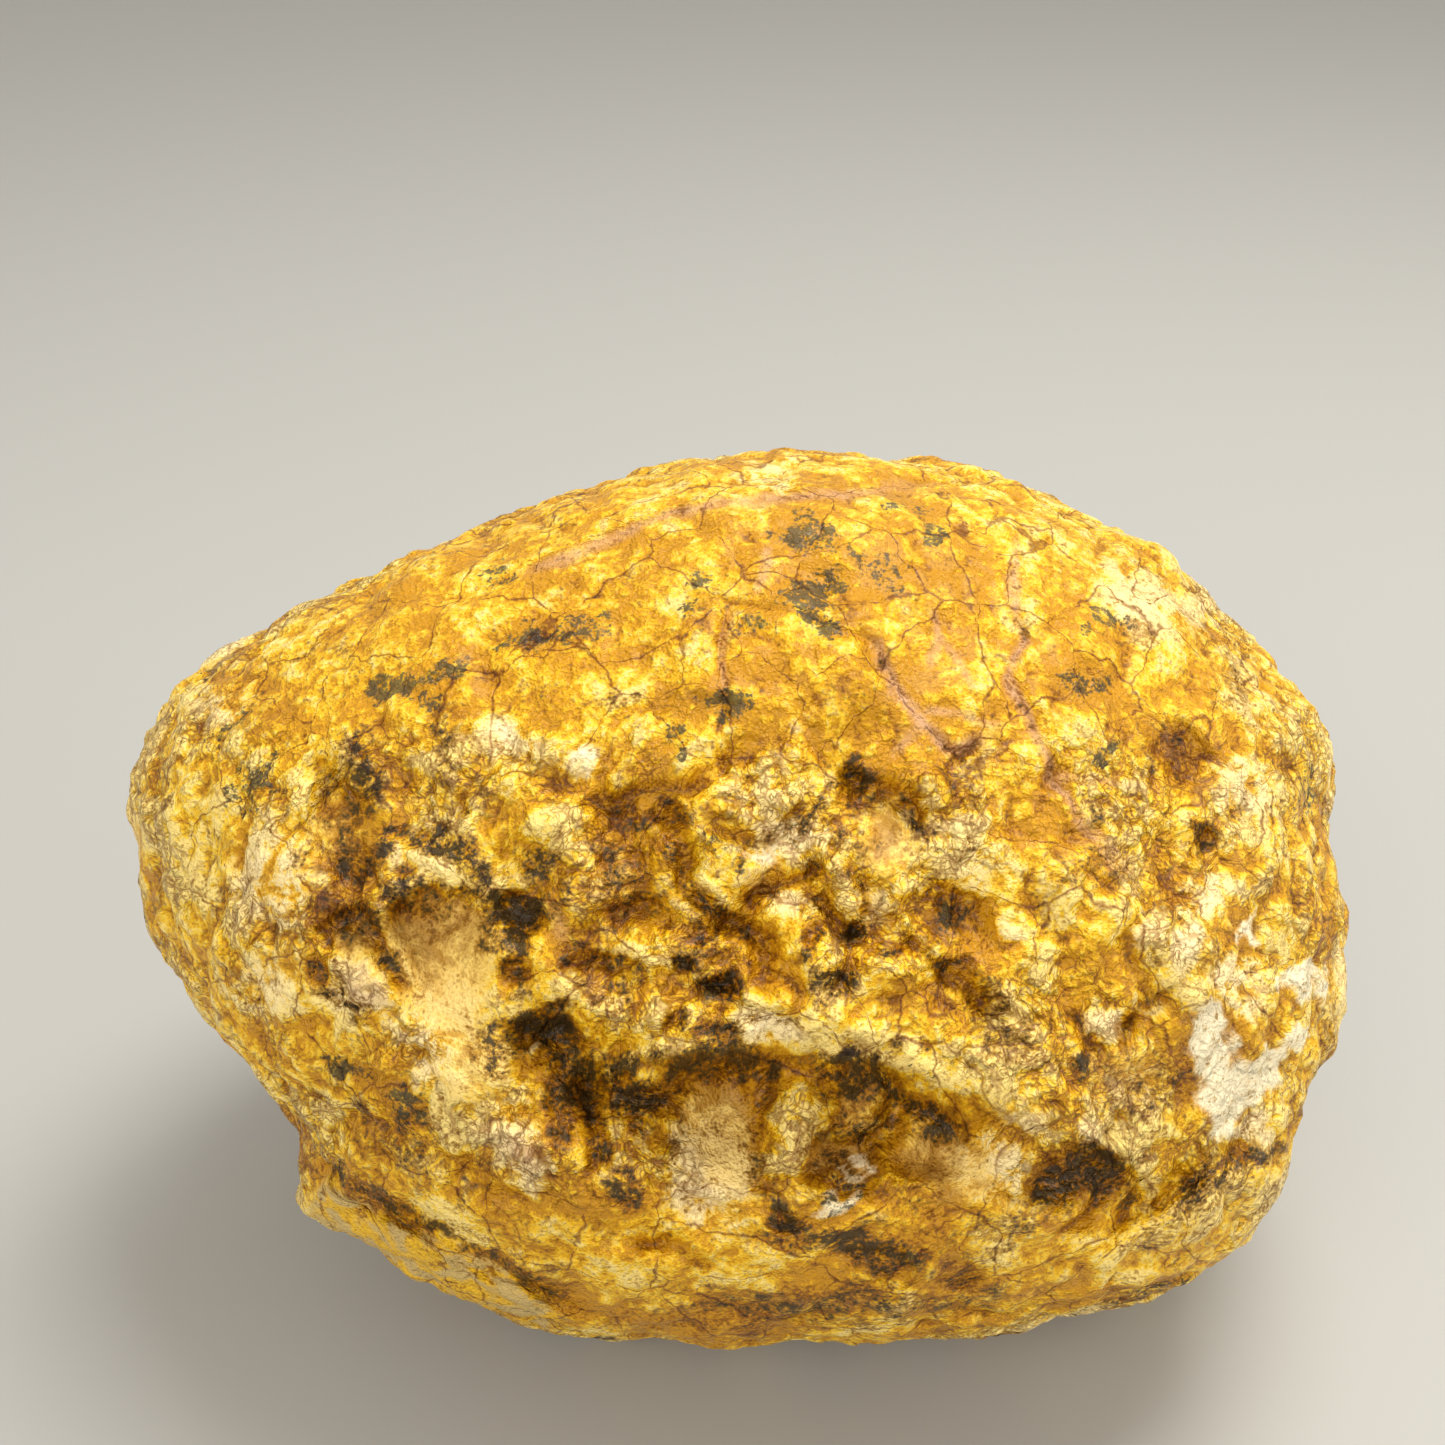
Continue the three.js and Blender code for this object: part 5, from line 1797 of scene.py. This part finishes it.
    def cracks(self, bench: Bench, fields: Fields) -> Socket:
        """Dark cracks of changing width: round cobbles, between chips, winding and long.

        Args:
            bench: node tree to add to.
            fields: shared fields.

        Returns:
            Strength of the cracks, 0 to 1.
        """
        zone = bench.mask(Mask.ZONE)
        round_cobbles = bench.near(fields.cobble, bench.grade(fields.blotch, self.cobble_gap))
        edge = bench.cells(fields.strayed, self.split_size, "DISTANCE_TO_EDGE").outputs["Distance"]
        splits = bench.near(edge, bench.grade(zone, self.split_gap))
        splits = bench.maths("MULTIPLY", splits, self.split_strength)
        winding = bench.maths("ABSOLUTE", bench.maths("SUBTRACT", fields.worm, 0.5))
        restless = bench.maths("MAXIMUM", zone, bench.mask(Mask.BROWN))
        winding = bench.near(winding, bench.grade(restless, self.worm_gap))
        winding = bench.maths("MULTIPLY", winding, self.worm_strength)
        net = bench.maths("MAXIMUM", round_cobbles, splits)
        strength = bench.maths("MULTIPLY", bench.maths("MAXIMUM", net, winding), fields.rough)
        edge = bench.cells(fields.strayed, self.long_size, "DISTANCE_TO_EDGE").outputs["Distance"]
        long_cracks = bench.near(edge, bench.grade(fields.blotch, self.long_gap))
        strength = bench.maths("MAXIMUM", strength, long_cracks)
        bare = bench.maths("MAXIMUM", bench.mask(Mask.TAN), bench.mask(Mask.PALE))
        return bench.maths("MULTIPLY", strength, bench.grade(bare, self.crack_where_bare))

    def ground(self, bench: Bench, fields: Fields) -> Socket:
        """Mottled ground colour, deeper in crevices and hollows and paler on crests as painted
        shade and painted highlight, cream in patches, tan on worn floors.

        Args:
            bench: node tree to add to.
            fields: shared fields.

        Returns:
            The colour.
        """
        cobbled = bench.heap(bench.grade(fields.cobble, self.cobble_crest), (fields.tint, 0.18))
        cream = bench.mask(Mask.CREAM)
        # each pair is a field and how far it moves the tone
        tone = bench.heap(
            bench.mask(Mask.MOTTLE),
            (fields.blotch, 0.6), (fields.fleck, 0.75), (cobbled, fields.rough),
            # crevices and hollows deepen the tone and crests pale it: painted shade and painted
            # highlight
            (bench.mask(Mask.CREVICE), -0.16), (bench.mask(Mask.HOLLOW), -0.24),
            (cream, 0.40), (fields.chip, -0.2), (fields.speck, 0.5),
        )
        tone = bench.grade(tone, self.tone_span)
        stops = (
            (0.16, self.sienna), (0.32, self.ochre), (0.50, self.gold), (0.70, self.straw),
            (0.92, self.cream),
        )
        butter = bench.maths("MULTIPLY", cream, bench.grade(tone, self.butter_share))
        ground = bench.mix(butter, bench.ramp(tone, stops), self.butter)
        worn = bench.ramp(tone, ((0.0, self.tan), (0.6, self.sand)))
        spread = bench.heap(bench.mask(Mask.TAN), (fields.fleck, 0.6))
        return bench.mix(bench.grade(spread, self.worn_share), ground, worn)

    def veins(self, bench: Bench, colour: Socket, fields: Fields) -> Socket:
        """Pink veins, white seams and the horny band at the rim.

        Args:
            bench: node tree to add to.
            colour: ground colour.
            fields: shared fields.

        Returns:
            The colour.
        """
        broken = bench.grade(fields.fleck, self.pink_breaks)
        pink = bench.maths("MULTIPLY", bench.mask(Mask.PINK), broken)
        colour = bench.mix(pink, colour, self.pink)
        white = bench.heap(
            bench.mask(Mask.PALE),
            (fields.fleck, 0.5), (fields.blotch, 0.6), (fields.speck, 0.5),
        )
        colour = bench.mix(bench.grade(white, self.white_share), colour, self.white)
        horn = bench.mix(bench.grade(fields.blotch, self.horn_gold), self.horn, self.gold)
        return bench.mix(bench.grade(bench.mask(Mask.BAND), self.band_share), colour, horn)

    def stains_and_shade(self, bench: Bench, colour: Socket, fields: Fields, cracks: Socket) -> Socket:
        """Brown in crevices, hollows and marks, partly stain and partly painted shade, dark
        patches, and cracks over them.

        A thin brown glazes what lies under it, a thick one hides it; painted shade is laid on the
        same way.

        Args:
            bench: node tree to add to.
            colour: colour beneath the stains.
            fields: shared fields.
            cracks: strength of the cracks.

        Returns:
            The colour.
        """
        ragged = bench.heap(
            bench.maths("MULTIPLY", fields.blotch, 0.7),
            (fields.fleck, 1.3), (fields.speck, 1.3), (fields.chip, 0.4),
        )
        ragged = bench.maths("SUBTRACT", ragged, self.ragged_level)
        crevice = bench.grade(bench.mask(Mask.CREVICE), self.crevice_dirt_and_shade)
        hollow = bench.grade(bench.mask(Mask.HOLLOW), self.hollow_shade)
        # painted shade in hollows and, with dirt, in crevices; less of it on the tan floors
        sunk = bench.maths("ADD", crevice, hollow)
        worn = bench.grade(bench.mask(Mask.TAN), self.sunk_where_tan)
        sunk = bench.maths("MULTIPLY", sunk, worn)
        mark = bench.mask(Mask.BROWN)
        brown = bench.maths("MAXIMUM", bench.maths("MULTIPLY", mark, self.brown_strength), sunk)
        pale = bench.grade(bench.mask(Mask.PALE), self.brown_where_pale)
        brown = bench.maths("MULTIPLY", brown, pale)
        brown = bench.heap(brown, (ragged, bench.grade(mark, self.brown_raggedness)))
        colour = bench.mix(bench.grade(brown, self.glaze_share), colour, self.glaze, "MULTIPLY")
        tone = bench.ramp(brown, ((0.45, self.rust), (0.78, self.umber), (1.0, self.deepest_brown)))
        colour = bench.mix(bench.grade(brown, self.brown_share), colour, tone)
        dark = bench.mask(Mask.DARK)
        dark = bench.heap(dark, (ragged, bench.grade(dark, self.dark_raggedness)))
        colour = bench.mix(bench.grade(dark, self.dark_share), colour, self.slate)
        cracks = bench.maths("MULTIPLY", cracks, self.crack_strength)
        return bench.mix(cracks, colour, self.crack, "MULTIPLY")

    def relief(self, bench: Bench, fields: Fields) -> Socket:
        """Fine relief: cobbles and chips where the rind is rough, flecks and specks.

        Args:
            bench: node tree to add to.
            fields: shared fields.

        Returns:
            The bumped surface direction.
        """
        cobbles = bench.grade(fields.cobble, self.cobble_rise)
        lumps = bench.heap(cobbles, (fields.chip, -self.chip_height))
        height = bench.heap(
            bench.maths("MULTIPLY", lumps, fields.rough),
            (fields.fleck, self.fleck_height), (fields.speck, self.speck_height),
        )
        inputs = {"Strength": 1.0, "Distance": MM, "Height": height}
        return bench.node("ShaderNodeBump", inputs).outputs[0]


@dataclass(frozen=True)
class FloorFinish:
    """Plain pale matt floor."""

    colour: Colour = (0.42, 0.42, 0.41)
    roughness: float = 0.6

    def material(self) -> bpy.types.Material:
        """Builds the floor's material.

        Returns:
            The finished material.
        """
        bench = Bench("pale floor")
        bench.wire(bench.shader.inputs["Base Color"], (*self.colour, 1.0))
        bench.wire(bench.shader.inputs["Roughness"], self.roughness)
        return bench.material


# ------------------------------------------------------------------ pieces


@dataclass
class Geode:
    """The stone, as one closed piece."""

    form: StoneForm = StoneForm()
    finish: RindFinish = RindFinish()

    def build(self) -> bpy.types.Object:
        """Writes the skin into a mesh, with its masks as attributes.

        Returns:
            The stone's object, at the origin.
        """
        skin = self.form.skin()
        corners = skin.quads.size
        mesh = bpy.data.meshes.new("geode_rind")
        mesh.vertices.add(len(skin.points))
        mesh.vertices.foreach_set("co", (skin.points * MM).astype(np.float32).ravel())
        mesh.loops.add(corners)
        mesh.loops.foreach_set("vertex_index", skin.quads.astype(np.int32).ravel())
        mesh.polygons.add(len(skin.quads))
        starts = np.arange(0, corners, corners // len(skin.quads), dtype=np.int32)
        mesh.polygons.foreach_set("loop_start", starts)
        mesh.update(calc_edges=True)
        mesh.shade_smooth()
        for mask, strength in skin.masks.items():
            layer = mesh.attributes.new(mask.value, "FLOAT", "POINT")
            layer.data.foreach_set("value", strength.astype(np.float32))
        bed = mesh.attributes.new(BED, "FLOAT_VECTOR", "POINT")
        bed.data.foreach_set("vector", skin.bed.astype(np.float32).ravel())
        stone = bpy.data.objects.new("geode_rind", mesh)
        bpy.context.scene.collection.objects.link(stone)
        return stone

    def dress(self, stone: bpy.types.Object) -> None:
        """Gives the stone its finish and its place in the frame.

        Args:
            stone: object from build.
        """
        stone.data.materials.append(self.finish.material())
        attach(stone, "root")
        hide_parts("geode")


@dataclass(frozen=True)
class Lamp:
    """Square soft lamp.

    Attributes:
        name: name of the lamp.
        at: where it hangs, in m.
        side: side of the square, in m.
        power: power, in watts.
        tint: colour of its light.
    """

    name: str
    at: tuple[float, float, float]
    side: float
    power: float
    tint: Colour

    def hang(self, aim: Vector) -> None:
        """Adds the lamp to the scene.

        Args:
            aim: place it is aimed at, in m.
        """
        light = bpy.data.lights.new(self.name, "AREA")
        light.size = self.side
        light.energy = self.power
        light.color = self.tint
        lamp = bpy.data.objects.new(self.name, light)
        lamp.location = self.at
        lamp.rotation_euler = (aim - Vector(self.at)).to_track_quat("-Z", "Y").to_euler()
        bpy.context.scene.collection.objects.link(lamp)


@dataclass
class Studio:
    """Pale floor, soft lamps, pale surround and the camera. Lengths are in metres."""

    sight: Sight = Sight()
    form: StoneForm = StoneForm()
    floor_half: float = 3.0
    floor_finish: FloorFinish = FloorFinish()
    lamps: Sequence[Lamp] = (
        Lamp("key", (0.20, 0.12, 0.80), 0.40, 5.9, (1.0, 0.97, 0.90)),
        Lamp("front", (-0.40, -0.70, 0.52), 0.50, 3.6, (1.0, 0.97, 0.92)),
        Lamp("side", (0.85, -0.30, 0.25), 0.40, 2.8, (1.0, 0.97, 0.92)),
    )
    surround: Colour = (1.0, 0.955, 0.87)
    surround_strength: float = 0.66
    sensor: float = 36.0
    clip: Span = (0.01, 20.0)

    def floor(self) -> bpy.types.Object:
        """Flat square the stone rests on.

        Returns:
            The floor.
        """
        h = self.floor_half
        mesh = bpy.data.meshes.new("floor")
        mesh.from_pydata([(-h, -h, 0), (h, -h, 0), (h, h, 0), (-h, h, 0)], [], [(0, 1, 2, 3)])
        mesh.materials.append(self.floor_finish.material())
        floor = bpy.data.objects.new("floor", mesh)
        bpy.context.scene.collection.objects.link(floor)
        return floor

    def lights(self) -> None:
        """Key lamp overhead, one at the front left, one low at the right, pale surround."""
        for lamp in self.lamps:
            lamp.hang(Vector((0.0, 0.0, self.sight.centre_height * MM)))
        world = bpy.data.worlds.new("surround")
        world.use_nodes = True
        background = world.node_tree.nodes["Background"]
        background.inputs["Color"].default_value = (*self.surround, 1.0)
        background.inputs["Strength"].default_value = self.surround_strength
        bpy.context.scene.world = world
        bpy.context.scene.view_settings.view_transform = "Standard"

    def camera(self) -> None:
        """Camera at the eye point, aimed a little above and left of the centre."""
        sight = self.sight
        data = bpy.data.cameras.new("camera")
        data.sensor_width = self.sensor
        data.lens = self.sensor * sight.distance * sight.pixels_per_mm / sight.image_width
        data.clip_start, data.clip_end = self.clip
        camera = bpy.data.objects.new("camera", data)
        forward = math.cos(sight.aim_left) * sight.aim - math.sin(sight.aim_left) * sight.across
        right = np.cross(forward, sight.aim_rise)
        turn = Matrix((right, sight.aim_rise, -forward)).transposed().to_4x4()
        shift = Vector(self.form.shift) * MM
        camera.matrix_world = Matrix.Translation(Vector(sight.eye * MM) + shift) @ turn
        bpy.context.scene.collection.objects.link(camera)
        bpy.context.scene.camera = camera


def main() -> None:
    """Builds the stage and the stone, and logs each piece."""
    logging.basicConfig(level=logging.INFO, format="%(name)s: %(message)s")
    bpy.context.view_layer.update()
    studio = Studio()
    studio.camera()
    studio.lights()
    LOG.info("built %s", studio.floor().name)
    geode = Geode()
    stone = geode.build()
    geode.dress(stone)
    LOG.info("built %s: %d quads", stone.name, len(stone.data.polygons))


if __name__ == "__main__":
    main()
